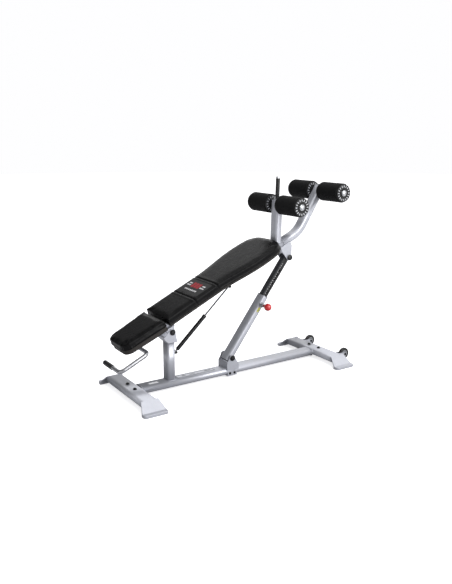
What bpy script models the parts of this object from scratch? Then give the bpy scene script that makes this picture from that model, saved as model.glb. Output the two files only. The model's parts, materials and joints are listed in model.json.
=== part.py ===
"""Decline sit-up bench, in metres, at rest.

+X runs along the bench from the head end (low) to the roller end (high), +Y across it, +Z up.
The origin is on the floor under the middle of the bench.
"""

import math

import bmesh
import bpy
from mathutils import Matrix, Vector

# Clearances
TOUCH = 0.0003  # between two pieces that are welded or clamped face to face
RUN = 0.0006  # radial, between a shaft and what turns or slides on it
SIDE = 0.0010  # sideways, between a turning piece and the plates beside it

# Round shapes
ROUND_SIDES = 24
SMALL_SIDES = 16
CORNER_STEPS = 3

# Base frame: a flat-oval beam between two crossbars that stand on folded feet
HEAD_X = -0.7366  # the head crossbar's centre
BASE_LENGTH = 1.453  # from crossbar to crossbar, centre to centre
BASE_WIDTH = 0.680  # over the feet
BASE_TUBE_W = 0.106
BASE_TUBE_H = 0.047
BASE_TUBE_R = 0.020
BASE_RISE = 0.023  # the floor to the underside of the tubes
TUBE_WALL = 0.003
CROSSBAR_HALF = 0.247
TAIL_X = HEAD_X + BASE_LENGTH
BASE_TOP = BASE_RISE + BASE_TUBE_H
BASE_MID = BASE_RISE + BASE_TUBE_H / 2
BEAM_W = 0.098
BEAM_R = 0.0225
BEAM_DROP = 0.004  # the beam's middle, below the crossbars'
BEAM_MID = BASE_MID - BEAM_DROP
BEAM_TOP = BASE_TOP - BEAM_DROP
BEAM_LOW = BASE_RISE - BEAM_DROP

# Feet
FOOT_HEAD_W = 0.112  # along X, where the foot meets the crossbar
FOOT_W = 0.156  # along X, at the floor
FOOT_T = 0.018
FOOT_DEPTH = 0.032
FOOT_PLATE_T = 0.006
FOOT_CORNER_R = 0.017

# Bolts through the crossbars
BOLT_Y = 0.052
BOLT_R = 0.005
BOLT_HEAD_R = 0.0095
BOLT_HEAD_T = 0.007
BOLT_TAIL = 0.006

# Upright post and the yoke on it
TUBE_W = 0.075  # oval tube of the post, rail, arm and strut, across the bench
TUBE_D = 0.050
TUBE_R = 0.017
POST_D = 0.055
POST_X = HEAD_X + 0.264
PIVOT_X = HEAD_X + 0.2646
PIVOT_Z = 0.3846
YOKE_BASE_Z = 0.318
YOKE_T = 0.005
YOKE_ROOM = 0.010  # between each cheek and the side of the post
YOKE_HALF = TUBE_W / 2 + YOKE_ROOM + YOKE_T
YOKE_FRONT = 0.034  # the pivot to the yoke's open side
YOKE_BACK = 0.058  # the pivot to the top of the yoke's leaning back
YOKE_BACK_LOW = 0.030
YOKE_BACK_RISE = 0.030
YOKE_LIP = 0.010
CHEEK_R = 0.022

# Pivot pins
PIN_R = 0.009
PIN_HEAD_R = 0.0165
PIN_HEAD_T = 0.010

# Tilting bench frame, in a frame of its own: u along the rail, n square to it, from the main pivot
BENCH_SLOPE = math.radians(25.2)
RAIL_N = 0.057  # the pivot to the rail's centre line
RAIL_LOW_U = -0.270
RAIL_HIGH_U = 0.985
HUB_R = 0.018
HUB_FLARE = 0.036
RAIL_TOP_N = RAIL_N + TUBE_D / 2
RAIL_BOTTOM_N = RAIL_N - TUBE_D / 2

# Curved arm
ARM_TURN = math.radians(32.3)
ARM_BEND_R = 0.20
ARM_PAST_AXLE = 0.034
HIGH_AXLE_U = 1.4116
HIGH_AXLE_N = 0.2275

# Roller post and the grip bar on it
ROLLER_POST_U = 0.9474
LOW_AXLE_U = 1.0627
LOW_AXLE_N = 0.3104
ROLLER_POST_PAST_AXLE = 0.030
BAR_LENGTH = 0.152
BAR_R = 0.0110
BAR_FOOT_INSET = 0.0015  # from the roller post's face to the edge of the bar's foot
BAR_FOOT_R = TUBE_D / 2 - BAR_FOOT_INSET
BAR_FOOT_T = 0.005
BAR_KNOB_T = 0.014
GRIP_T = 0.0026  # the wall of the rubber on the grip bar and on the carry handle

# Rollers
AXLE_R = 0.0125
AXLE_HEAD_R = 0.0200
AXLE_HEAD_T = 0.010
ROLLER_R = 0.0634
ROLLER_GAP = 0.0075  # between a roller and the side of its tube
ROLLER_INNER_Y = TUBE_W / 2 + ROLLER_GAP
ROLLER_OUTER_Y = 0.259
ROLLER_FLANGE_R = 0.058
ROLLER_FLANGE_T = 0.008
ROLLER_CORE_R = 0.030
FOAM_EDGE_R = 0.010

# Pads
PLATE_T = 0.004
PLATE_U = 0.050
PLATE_Y = 0.200
BOARD_T = 0.012
BOARD_INSET = 0.006
SEAT_SKIRT = 0.015  # the seat board's rim hangs this far below it
SEAT_SKIRT_T = 0.012
SEAT_RAIL_ROOM = 0.004  # between the rim and each side of the rail
PAD_T = 0.0438
BACK_PAD_LOW_U = -0.0275
BACK_PAD_LENGTH = 0.940
BACK_PAD_HIP_HALF = 0.148
BACK_PAD_CHEST_HALF = 0.190
BACK_PAD_FLARE = (0.40, 0.72)  # from the low end, where the sides swing out
BACK_PAD_ROUND = 0.220  # the length of the rounded high end
BACK_PAD_SQUARENESS = 3.6  # 2 rounds it off as an ellipse, more leaves it squarer
SEAT_PAD_LENGTH = 0.300
SEAT_PAD_HALF = 0.138
SEAT_PAD_LOW_HALF = 0.122
SEAT_PAD_ROUND = 0.055
PAD_GAP = 0.012
SEAT_PLATE_U = -0.190
BACK_PLATE_LOW_U = 0.130
BACK_PLATE_HIGH_U = 0.700
BOARD_N = RAIL_TOP_N + TOUCH + PLATE_T + TOUCH
PAD_N = BOARD_N + BOARD_T + TOUCH
PAD_TOP_N = PAD_N + PAD_T

# Carry handle under the seat pad
HANDLE_R = 0.0125
HANDLE_LEG_U = -0.218
HANDLE_GRIP_U = -0.421
HANDLE_RUN_Y = -0.130
HANDLE_LEG_Y = 0.025
HANDLE_END_Y = 0.090
HANDLE_BEND_R = 0.034
HANDLE_GRIP_Y = -0.020
HANDLE_GRIP_END_T = 0.004

# Strut, in a frame of its own: along x from its lower pivot, z square to it
STRUT_X = HEAD_X + 0.7053
STRUT_Z = 0.1356
STRUT_TOP_U = 0.9822  # the strut's upper pivot, in the bench frame
STRUT_TOP_N = RAIL_BOTTOM_N - 0.0805
SLEEVE_START = -0.030
SLEEVE_END = 0.466
BARREL_R = 0.016
MAST_W = 0.050
MAST_ROOM = 0.001  # between the mast and the sleeve's inside, on each long side
MAST_D = TUBE_D - 2 * TUBE_WALL - 2 * MAST_ROOM
MAST_R = 0.009
MAST_WALL = 0.004
MAST_START = 0.190
MAST_PAST_PIN = 0.004
BUSH_LENGTH = 0.042
BUSH_LIP_T = 0.005
TOP_PIN_R = 0.0065
TOP_EYE_R = 0.0195
OPEN_PIVOT = 0.0086  # radial room at the strut's upper pivot
GAS_OPEN_PIVOT = 0.0020  # radial room at the gas spring's upper pivot

# Adjustment holes and pull pin
HOLE_R = 0.0068
HOLE_PITCH = 0.0333
HOLES_BELOW = 1
HOLES_ABOVE = 9
GROOVE_W = 0.020
GROOVE_DEPTH = 0.0024
PULL_X = 0.404
PULL_R = 0.0060
PULL_TIP = 0.0005  # above the groove's floor
HOUSING_R = 0.0135
HOUSING_LENGTH = 0.027
HOUSING_FLANGE_R = 0.019
HOUSING_FLANGE_T = 0.004
KNOB_R = 0.025
KNOB_Y = 0.110

# Saddle and strap that hold the strut's foot on the beam
SADDLE_T = 0.005
SADDLE_BACK = 0.040
SADDLE_FRONT = 0.052
SADDLE_LOW_Z = 0.053
SADDLE_WEB_TOP = 0.018  # above the beam
STRAP_T = 0.004
STRAP_TOP_Z = 0.047
STRAP_HALF_X = 0.036

# Bracket under the rail for the strut's upper pin
BRACKET_LOW_U = 0.945
BRACKET_HIGH_U = 1.034
BRACKET_T = 0.005
BRACKET_WEB_T = 0.006
BRACKET_RISE = 0.016  # the cheeks run this far up the rail's sides

# Gas spring
GAS_FOOT_OUT = 0.0175  # its lower pin, out from the post's face
GAS_FOOT_Z = 0.237
GAS_TOP_U = 0.5016
GAS_TOP_N = RAIL_BOTTOM_N - 0.0190
GAS_TUBE_R = 0.0125
GAS_TUBE_END = 0.300
GAS_ROD_R = 0.0050
GAS_ROD_START = 0.080
GAS_TRAVEL = 0.055  # the room behind the rod's end
GAS_EYE_R = 0.0115
GAS_EYE_W = 0.012
GAS_PIN_R = 0.0045
LUG_T = 0.004
LUG_HALF = 0.013

# Transport wheels
WHEEL_X = TAIL_X + 0.118
WHEEL_Y = 0.186
WHEEL_Z = 0.0455
WHEEL_R = 0.042
WHEEL_W = 0.022
WHEEL_HUB_W = 0.026
WHEEL_HUB_R = 0.012
FORK_T = 0.004
FORK_H = 0.030
FORK_EYE_R = 0.013
WHEEL_AXLE_R = 0.005
WHEEL_AXLE_HEAD_R = 0.009
WHEEL_AXLE_HEAD_T = 0.005

TURN_TO = {"X": (0, math.pi / 2, 0), "Y": (-math.pi / 2, 0, 0), "Z": (0, 0, 0)}
SIDES = {"near": -1, "far": 1}


def start_scene():
    """Clears the scene, then makes one collection for the bench and one for its cutters."""
    for old in list(bpy.data.objects):
        bpy.data.objects.remove(old)
    made = []
    for name in ("decline_bench", "cutters"):
        collection = bpy.data.collections.new(name)
        bpy.context.scene.collection.children.link(collection)
        made.append(collection)
    return made


PARTS, CUTTERS = start_scene()


def paint(name, colour, roughness, metallic):
    material = bpy.data.materials.new(name)
    material.use_nodes = True
    shader = material.node_tree.nodes["Principled BSDF"]
    shader.inputs["Base Color"].default_value = (*colour, 1.0)
    shader.inputs["Roughness"].default_value = roughness
    shader.inputs["Metallic"].default_value = metallic
    return material


SILVER = paint("silver_powder_coat", (0.47, 0.48, 0.52), 0.38, 0.55)
STEEL = paint("zinc_plated_steel", (0.62, 0.62, 0.63), 0.30, 1.0)
CHROME = paint("chrome_plate", (0.80, 0.80, 0.82), 0.10, 1.0)
MAST_GREY = paint("dark_grey_steel", (0.16, 0.16, 0.17), 0.35, 0.80)
BLACK_STEEL = paint("black_steel", (0.015, 0.015, 0.016), 0.30, 0.30)
VINYL = paint("black_vinyl", (0.012, 0.012, 0.013), 0.38, 0.0)
FOAM = paint("black_foam", (0.008, 0.008, 0.008), 0.85, 0.0)
RUBBER = paint("black_rubber", (0.012, 0.012, 0.012), 0.70, 0.0)
PLASTIC = paint("black_nylon", (0.014, 0.014, 0.015), 0.45, 0.0)
BOARD = paint("plywood_board", (0.10, 0.07, 0.05), 0.80, 0.0)
RED = paint("red_phenolic", (0.72, 0.03, 0.03), 0.18, 0.0)


def empty(name, location, slope):
    """A pivot whose local X climbs at the given slope."""
    pivot = bpy.data.objects.new(name, None)
    PARTS.objects.link(pivot)
    pivot.location = location
    pivot.rotation_euler = (0, -slope, 0)
    return pivot


def add(name, mesh, material, parent=None, place=(0, 0, 0), turn=(0, 0, 0)):
    piece = bpy.data.objects.new(name, mesh)
    collection = PARTS
    if material is None:
        collection = CUTTERS
        piece.hide_render = True
        piece.display_type = "WIRE"
    else:
        mesh.materials.clear()
        mesh.materials.append(material)
    collection.objects.link(piece)
    piece.parent = parent
    piece.location = place
    piece.rotation_euler = turn
    return piece


def finish(bm, name, smooth=True):
    bmesh.ops.recalc_face_normals(bm, faces=bm.faces)
    mesh = bpy.data.meshes.new(name)
    bm.to_mesh(mesh)
    bm.free()
    if smooth:
        mesh.shade_smooth()
        mesh.set_sharp_from_angle(angle=math.radians(35))
    return mesh


def arc(centre, radius, start, end, steps):
    """Points on an arc, its angles in degrees."""
    angles = [math.radians(start + (end - start) * i / steps) for i in range(steps + 1)]
    return [(centre[0] + radius * math.cos(a), centre[1] + radius * math.sin(a)) for a in angles]


def rounded(width, height, radius):
    """A rounded rectangle about the origin."""
    a, b = width / 2 - radius, height / 2 - radius
    points = []
    for i, centre in enumerate(((a, b), (-a, b), (-a, -b), (a, -b))):
        points += arc(centre, radius, 90 * i, 90 * i + 90, CORNER_STEPS)
    return points


def prism_mesh(outline, low, high, name, across="Y"):
    """An outline pushed from low to high. Its points are (x, z) across Y, (y, z) across X."""
    spots = {
        "Y": lambda a, b: (a, low, b),
        "X": lambda a, b: (low, a, b),
        "Z": lambda a, b: (a, b, low),
    }
    push = {"Y": (0, high - low, 0), "X": (high - low, 0, 0), "Z": (0, 0, high - low)}
    bm = bmesh.new()
    face = bm.faces.new([bm.verts.new(spots[across](a, b)) for a, b in outline])
    grown = bmesh.ops.extrude_face_region(bm, geom=[face])["geom"]
    verts = [v for v in grown if isinstance(v, bmesh.types.BMVert)]
    bmesh.ops.translate(bm, verts=verts, vec=push[across])
    return finish(bm, name)


def prism(name, material, outline, low, high, across="Y", parent=None, place=(0, 0, 0)):
    return add(name, prism_mesh(outline, low, high, name, across), material, parent, place)


def tube(name, material, outline, moves, wall, parent=None, place=(0, 0, 0), turn=(0, 0, 0)):
    """A hollow tube. Its outline, in (y, z), is drawn along +X.

    A move is ("run", length) or, turning up, ("bend", radius, angle).
    """
    bm = bmesh.new()
    verts = [bm.verts.new((0, y, z)) for y, z in outline]
    edges = [bm.edges.new(pair) for pair in zip(verts, verts[1:] + verts[:1])]
    spot, heading = Vector((0, 0, 0)), 0.0
    for move in moves:
        ahead = Vector((math.cos(heading), 0, math.sin(heading)))
        if move[0] == "run":
            grown = bmesh.ops.extrude_edge_only(bm, edges=edges)["geom"]
            bmesh.ops.translate(
                bm, verts=[v for v in grown if isinstance(v, bmesh.types.BMVert)], vec=ahead * move[1]
            )
            spot += ahead * move[1]
        else:
            radius, angle = move[1:]
            up = Vector((-math.sin(heading), 0, math.cos(heading)))
            centre = spot + up * radius
            grown = bmesh.ops.spin(
                bm,
                geom=edges,
                cent=centre,
                axis=(0, -1, 0),
                angle=angle,
                steps=max(2, round(math.degrees(angle) / 5)),
            )["geom_last"]
            heading += angle
            spot = centre + Vector((math.sin(heading), 0, -math.cos(heading))) * radius
        edges = [e for e in grown if isinstance(e, bmesh.types.BMEdge)]
    piece = add(name, finish(bm, name), material, parent, place, turn)
    shell = piece.modifiers.new("wall", "SOLIDIFY")
    shell.thickness = wall
    shell.offset = -1
    shell.use_even_offset = True
    return piece


def turned(name, material, profile, axis, parent=None, place=(0, 0, 0), sides=ROUND_SIDES, ring=False):
    """A turned piece. Its profile, in (radius, along), runs down its outer side, high end first."""
    bm = bmesh.new()
    verts = [bm.verts.new((r, 0, h)) for r, h in profile]
    for pair in zip(verts, verts[1:]):
        bm.edges.new(pair)
    if ring:
        bm.edges.new((verts[-1], verts[0]))
    mesh = bpy.data.meshes.new(name)
    bm.to_mesh(mesh)
    bm.free()
    piece = add(name, mesh, material, parent, place, TURN_TO[axis])
    lathe = piece.modifiers.new("lathe", "SCREW")
    lathe.steps = sides
    lathe.render_steps = sides
    lathe.use_merge_vertices = True
    lathe.merge_threshold = 0.00001
    lathe.use_smooth_shade = True
    return piece


def headed_profile(radius, head_r, head_t, half):
    """A shaft with a head at each end, outside the span from -half to half."""
    edge = head_t * 0.3
    out = half + head_t
    upper = [(0, out), (head_r - edge, out), (head_r, out - edge), (head_r, half), (radius, half)]
    return upper + [(r, -h) for r, h in reversed(upper)]


def round_cutter(radius, low, high, sides=SMALL_SIDES):
    """A cylinder's mesh along Z."""
    bm = bmesh.new()
    bmesh.ops.create_cone(
        bm, cap_ends=True, segments=sides, radius1=radius, radius2=radius, depth=high - low
    )
    bmesh.ops.translate(bm, verts=bm.verts, vec=(0, 0, (low + high) / 2))
    return finish(bm, "round")


def cylinder(radius, low, high, sides=ROUND_SIDES):
    """A cylinder's mesh along Y."""
    mesh = round_cutter(radius, low, high, sides)
    mesh.transform(Matrix.Rotation(-math.pi / 2, 4, "X"))
    return mesh


def combine(piece, other, operation):
    step = piece.modifiers.new(other.name, "BOOLEAN")
    step.operation = operation
    step.object = other
    return piece


def cut_with(piece, mesh, parent=None, place=(0, 0, 0), turn=(0, 0, 0)):
    cutter = add(f"{piece.name}_cutter", mesh, None, parent, place, turn)
    return combine(piece, cutter, "DIFFERENCE")


def bore(piece, radius, place, half, parent=None, sides=ROUND_SIDES):
    """A hole along Y, past both faces."""
    return cut_with(piece, cylinder(radius, -half, half, sides), parent, place)


def cheeked(name, material, outline, half, wall, pocket, parent=None, place=(0, 0, 0)):
    """A folded bracket: a side outline as wide as the bracket, less the pocket between its two cheeks."""
    piece = prism(name, material, outline, -half, half, "Y", parent, place)
    inner = half - wall
    return cut_with(piece, prism_mesh(pocket, -inner, inner, "pocket"), parent, place)


def bench_point(u, n):
    """A point of the bench frame, in the bench's own (x, z)."""
    c, s = math.cos(BENCH_SLOPE), math.sin(BENCH_SLOPE)
    return Vector((PIVOT_X + u * c - n * s, 0, PIVOT_Z + u * s + n * c))


def slope_to(start, end):
    return math.atan2(end.z - start.z, end.x - start.x)


PIVOT = Vector((PIVOT_X, 0, PIVOT_Z))
STRUT_FOOT = Vector((STRUT_X, 0, STRUT_Z))
STRUT_HEAD = bench_point(STRUT_TOP_U, STRUT_TOP_N)
STRUT_LENGTH = (STRUT_HEAD - STRUT_FOOT).length
GAS_FOOT = Vector((POST_X + POST_D / 2 + GAS_FOOT_OUT, 0, GAS_FOOT_Z))
GAS_HEAD = bench_point(GAS_TOP_U, GAS_TOP_N)
GAS_LENGTH = (GAS_HEAD - GAS_FOOT).length

BENCH = empty("bench_pivot", PIVOT, BENCH_SLOPE)
STRUT = empty("strut_pivot", STRUT_FOOT, slope_to(STRUT_FOOT, STRUT_HEAD))
GAS = empty("gas_pivot", GAS_FOOT, slope_to(GAS_FOOT, GAS_HEAD))


def base_tubes():
    start = HEAD_X + BASE_TUBE_W / 2 + TOUCH
    end = TAIL_X - BASE_TUBE_W / 2 - TOUCH
    beam = rounded(BEAM_W, BASE_TUBE_H, BEAM_R)
    tube("main_beam", SILVER, beam, [("run", end - start)], TUBE_WALL, place=(start, 0, BEAM_MID))
    section = rounded(BASE_TUBE_W, BASE_TUBE_H, BASE_TUBE_R)
    for name, x in (("head", HEAD_X), ("tail", TAIL_X)):
        bar = tube(
            f"{name}_crossbar",
            SILVER,
            section,
            [("run", 2 * CROSSBAR_HALF)],
            TUBE_WALL,
            place=(x, -CROSSBAR_HALF, BASE_MID),
            turn=(0, 0, math.pi / 2),
        )
        for side, sign in SIDES.items():
            spot = (x, sign * BOLT_Y, BASE_MID)
            hole = round_cutter(BOLT_R + TOUCH, -BASE_TUBE_H, BASE_TUBE_H)
            cut_with(bar, hole, None, spot)
            half = BASE_TUBE_H / 2 + TOUCH
            profile = [
                (0, half + BOLT_HEAD_T),
                (BOLT_HEAD_R * 0.85, half + BOLT_HEAD_T),
                (BOLT_HEAD_R, half + BOLT_HEAD_T * 0.7),
                (BOLT_HEAD_R, half),
                (BOLT_R, half),
                (BOLT_R, -half - BOLT_TAIL),
                (0, -half - BOLT_TAIL),
            ]
            turned(f"{name}_bolt_{side}", BLACK_STEEL, profile, "Z", None, spot, SMALL_SIDES)


def foot(name, x, sign):
    """A foot folded from plate: it slopes down from the crossbar's end to a thick flange on the floor."""
    inner, knee, outer = CROSSBAR_HALF + TOUCH, BASE_WIDTH / 2 - FOOT_DEPTH, BASE_WIDTH / 2
    run, drop = knee - inner, BASE_TOP - FOOT_T
    under = FOOT_PLATE_T * math.hypot(run, drop) / run  # the plate's thickness, measured upright
    back = knee - run * under / drop
    profile = [
        (inner, BASE_TOP),
        (knee, FOOT_T),
        (outer, FOOT_T),
        (outer, 0),
        (back, 0),
        (back, FOOT_T),
        (inner, BASE_TOP - under),
    ]
    bm = bmesh.new()
    face = bm.faces.new([bm.verts.new((-0.5, y, z)) for y, z in profile])
    grown = bmesh.ops.extrude_face_region(bm, geom=[face])["geom"]
    verts = [v for v in grown if isinstance(v, bmesh.types.BMVert)]
    bmesh.ops.translate(bm, verts=verts, vec=(1, 0, 0))
    for vert in bm.verts:
        share = min(1.0, (vert.co.y - inner) / (back - inner))
        vert.co.x *= FOOT_HEAD_W + (FOOT_W - FOOT_HEAD_W) * share
    corners = [e for e in bm.edges if all(abs(v.co.y - outer) < TOUCH for v in e.verts)]
    corners = [e for e in corners if abs(e.verts[0].co.x - e.verts[1].co.x) < TOUCH]
    bmesh.ops.bevel(bm, geom=corners, offset=FOOT_CORNER_R, segments=4, affect="EDGES", profile=0.5)
    if sign < 0:
        bmesh.ops.rotate(bm, verts=bm.verts, matrix=Matrix.Rotation(math.pi, 3, "Z"))
    add(name, finish(bm, name), SILVER, None, (x, 0, 0))


def post_and_yoke():
    low = BEAM_TOP + TOUCH
    height = YOKE_BASE_Z - TOUCH - low
    tube(
        "post",
        SILVER,
        rounded(TUBE_W, POST_D, TUBE_R),
        [("run", height)],
        TUBE_WALL,
        place=(POST_X, 0, low),
        turn=(0, -math.pi / 2, 0),
    )
    drop = YOKE_BASE_Z - PIVOT_Z
    knee = drop + YOKE_BACK_RISE
    outline = [(YOKE_FRONT, drop), *arc((0, 0), CHEEK_R, -15, 150, 11)]
    outline += [(-YOKE_BACK, knee + YOKE_LIP), (-YOKE_BACK, knee), (-YOKE_BACK_LOW, drop)]
    above, past = CHEEK_R + YOKE_T, YOKE_FRONT + YOKE_T
    pocket = [(past, drop + YOKE_T), (past, above), (YOKE_T - YOKE_BACK, above)]
    pocket += [(YOKE_T - YOKE_BACK, knee + YOKE_T / 2), (YOKE_T / 2 - YOKE_BACK_LOW, drop + YOKE_T)]
    yoke = cheeked("yoke", SILVER, outline, YOKE_HALF, YOKE_T, pocket, None, PIVOT)
    bore(yoke, PIN_R + TOUCH, PIVOT, YOKE_HALF * 2)
    profile = headed_profile(PIN_R, PIN_HEAD_R, PIN_HEAD_T, YOKE_HALF + TOUCH)
    turned("yoke_pin", BLACK_STEEL, profile, "Y", None, PIVOT)


def saddle_and_strap():
    base = BEAM_TOP + TOUCH - STRUT_Z
    low = SADDLE_LOW_Z - STRUT_Z
    half = BEAM_W / 2 + TOUCH + SADDLE_T
    outline = [(SADDLE_FRONT, low), (SADDLE_FRONT, base + SADDLE_WEB_TOP)]
    outline += arc((0, 0), CHEEK_R, 0, 180, 12)
    outline += [(-SADDLE_BACK, base + SADDLE_WEB_TOP * 2), (-SADDLE_BACK, low)]
    above, past = CHEEK_R * 2, SADDLE_FRONT * 2
    floor = base + SADDLE_T
    web = SADDLE_T - SADDLE_BACK
    pocket = [(past, floor), (past, above), (web, above), (web, floor)]
    saddle = cheeked("strut_saddle", SILVER, outline, half, SADDLE_T, pocket, None, STRUT_FOOT)
    room = BEAM_W / 2 + TOUCH
    beam_room = [(past, base - BASE_TUBE_H), (past, base), (-past, base), (-past, base - BASE_TUBE_H)]
    cut_with(saddle, prism_mesh(beam_room, -room, room, "beam_room"), None, STRUT_FOOT)
    bore(saddle, PIN_R + TOUCH, STRUT_FOOT, half * 2)
    profile = headed_profile(PIN_R, PIN_HEAD_R, PIN_HEAD_T, half + TOUCH)
    turned("strut_pin", BLACK_STEEL, profile, "Y", None, STRUT_FOOT)
    strap_low = BEAM_LOW - TOUCH - STRAP_T
    strap_shape = [
        (half, STRAP_TOP_Z),
        (half, strap_low),
        (-half, strap_low),
        (-half, STRAP_TOP_Z),
        (-room, STRAP_TOP_Z),
        (-room, BEAM_LOW - TOUCH),
        (room, BEAM_LOW - TOUCH),
        (room, STRAP_TOP_Z),
    ]
    prism("saddle_strap", SILVER, strap_shape, -STRAP_HALF_X, STRAP_HALF_X, "X", None, (STRUT_X, 0, 0))


def wheels():
    for side, sign in SIDES.items():
        centre = Vector((WHEEL_X, sign * WHEEL_Y, WHEEL_Z))
        back = TAIL_X + BASE_TUBE_W / 2 + TOUCH - WHEEL_X
        inner = WHEEL_HUB_W / 2 + SIDE
        outline = [(back, -FORK_H / 2), *arc((0, 0), FORK_EYE_R, -90, 90, 8), (back, FORK_H / 2)]
        web = back + FORK_T
        pocket = [(web, -FORK_H), (FORK_H, -FORK_H), (FORK_H, FORK_H), (web, FORK_H)]
        name = f"wheel_fork_{side}"
        fork = cheeked(name, SILVER, outline, inner + FORK_T, FORK_T, pocket, None, centre)
        bore(fork, WHEEL_AXLE_R + TOUCH, centre, FORK_H, None, SMALL_SIDES)
        half = inner + FORK_T + TOUCH
        profile = headed_profile(WHEEL_AXLE_R, WHEEL_AXLE_HEAD_R, WHEEL_AXLE_HEAD_T, half)
        turned(f"wheel_axle_{side}", BLACK_STEEL, profile, "Y", None, centre, SMALL_SIDES)
        hub, rim = WHEEL_HUB_W / 2, WHEEL_W / 2
        hole = WHEEL_AXLE_R + RUN
        shoulder = WHEEL_R * 0.93
        profile = [(hole, hub), (WHEEL_HUB_R, hub), (WHEEL_HUB_R, rim), (shoulder, rim)]
        profile += [(WHEEL_R, rim * 0.6)]
        profile += [(r, -h) for r, h in reversed(profile)]
        turned(f"wheel_{side}", RUBBER, profile, "Y", None, centre, ROUND_SIDES, True)


def rail_and_hub():
    section = rounded(TUBE_W, TUBE_D, TUBE_R)
    length = RAIL_HIGH_U - RAIL_LOW_U
    tube("rail", SILVER, section, [("run", length)], TUBE_WALL, BENCH, (RAIL_LOW_U, 0, RAIL_N))
    top = RAIL_BOTTOM_N - TOUCH
    outline = [(-HUB_FLARE, top), *arc((0, 0), HUB_R, 180, 360, 16), (HUB_FLARE, top)]
    half = YOKE_HALF - YOKE_T - SIDE
    hub = prism("pivot_hub", SILVER, outline, -half, half, "Y", BENCH)
    bore(hub, PIN_R + RUN, (0, 0, 0), YOKE_HALF * 2, BENCH)


def curved_arm():
    section = rounded(TUBE_W, TUBE_D, TUBE_R)
    start = RAIL_HIGH_U + TOUCH
    rise = HIGH_AXLE_N - RAIL_N
    corner = HIGH_AXLE_U - rise / math.tan(ARM_TURN)
    reach = ARM_BEND_R * math.tan(ARM_TURN / 2)
    climb = rise / math.sin(ARM_TURN) - reach + ARM_PAST_AXLE
    moves = [("run", corner - reach - start), ("bend", ARM_BEND_R, ARM_TURN), ("run", climb)]
    arm = tube("curved_arm", SILVER, section, moves, TUBE_WALL, BENCH, (start, 0, RAIL_N))
    bore(arm, AXLE_R + TOUCH, (HIGH_AXLE_U, 0, HIGH_AXLE_N), TUBE_W, BENCH)


def roller_post_and_bar():
    foot_spot = Vector((ROLLER_POST_U, 0, RAIL_TOP_N))
    axle_spot = Vector((LOW_AXLE_U, 0, LOW_AXLE_N))
    lean = slope_to(foot_spot, axle_spot)
    length = (axle_spot - foot_spot).length + ROLLER_POST_PAST_AXLE
    section = rounded(TUBE_W, TUBE_D, TUBE_R)
    root = TUBE_D / 2 / math.tan(lean) + TOUCH / math.sin(lean)
    post = tube(
        "roller_post",
        SILVER,
        section,
        [("run", length + root)],
        TUBE_WALL,
        BENCH,
        foot_spot - Vector((math.cos(lean), 0, math.sin(lean))) * root,
        (0, -lean, 0),
    )
    low, high = RAIL_BOTTOM_N - TUBE_D, RAIL_TOP_N + TOUCH
    back, front = ROLLER_POST_U - 2 * TUBE_W, ROLLER_POST_U + 2 * TUBE_W
    under = [(back, low), (front, low), (front, high), (back, high)]
    cut_with(post, prism_mesh(under, -TUBE_W, TUBE_W, "mitre"), BENCH)
    bore(post, AXLE_R + TOUCH, axle_spot, TUBE_W, BENCH)

    seat = empty("grip_bar_seat", foot_spot, lean)
    seat.parent = BENCH
    place = (length + TOUCH, 0, 0)
    knob_r = BAR_R + TOUCH + GRIP_T
    knob = BAR_LENGTH - BAR_KNOB_T
    profile = [
        (0, BAR_LENGTH),
        (knob_r * 0.7, BAR_LENGTH),
        (knob_r, BAR_LENGTH - BAR_KNOB_T * 0.4),
        (knob_r, knob),
        (BAR_R, knob),
        (BAR_R, BAR_FOOT_T),
        (BAR_FOOT_R, BAR_FOOT_T),
        (BAR_FOOT_R, 0),
        (0, 0),
    ]
    turned("grip_bar", CHROME, profile, "X", seat, place)
    hole, top, low = BAR_R + TOUCH, knob - TOUCH, BAR_FOOT_T + TOUCH
    profile = [(hole, top), (knob_r, top), (knob_r, low), (hole, low)]
    turned("grip_bar_rubber", RUBBER, profile, "X", seat, place, ring=True)


def rollers():
    axles = {"low": (LOW_AXLE_U, LOW_AXLE_N), "high": (HIGH_AXLE_U, HIGH_AXLE_N)}
    for level, (u, n) in axles.items():
        half = ROLLER_OUTER_Y + SIDE
        profile = headed_profile(AXLE_R, AXLE_HEAD_R, AXLE_HEAD_T, half)
        turned(f"roller_axle_{level}", CHROME, profile, "Y", BENCH, (u, 0, n))
        for side, sign in SIDES.items():
            middle = (ROLLER_INNER_Y + ROLLER_OUTER_Y) / 2
            half = (ROLLER_OUTER_Y - ROLLER_INNER_Y) / 2
            inner = half - ROLLER_FLANGE_T
            hole = AXLE_R + RUN
            edge = ROLLER_FLANGE_T * 0.3
            upper = [(hole, half), (ROLLER_FLANGE_R - edge, half), (ROLLER_FLANGE_R, half - edge)]
            upper += [(ROLLER_FLANGE_R, inner), (ROLLER_CORE_R, inner)]
            profile = upper + [(r, -h) for r, h in reversed(upper)]
            spot = (u, sign * middle, n)
            turned(f"roller_hub_{level}_{side}", PLASTIC, profile, "Y", BENCH, spot, ROUND_SIDES, True)
            bed, face, round_r = ROLLER_CORE_R + TOUCH, inner - TOUCH, FOAM_EDGE_R
            rim = [(ROLLER_R - round_r, face - round_r)]
            upper = [(bed, face)] + [
                (r, h) for r, h in reversed(arc(rim[0], round_r, 0, 90, CORNER_STEPS))
            ]
            profile = upper + [(r, -h) for r, h in reversed(upper)]
            turned(f"roller_foam_{level}_{side}", FOAM, profile, "Y", BENCH, spot, ROUND_SIDES, True)


def ease(value, low, high):
    share = min(1.0, max(0.0, (value - low) / (high - low)))
    return share * share * (3 - 2 * share)


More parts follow.
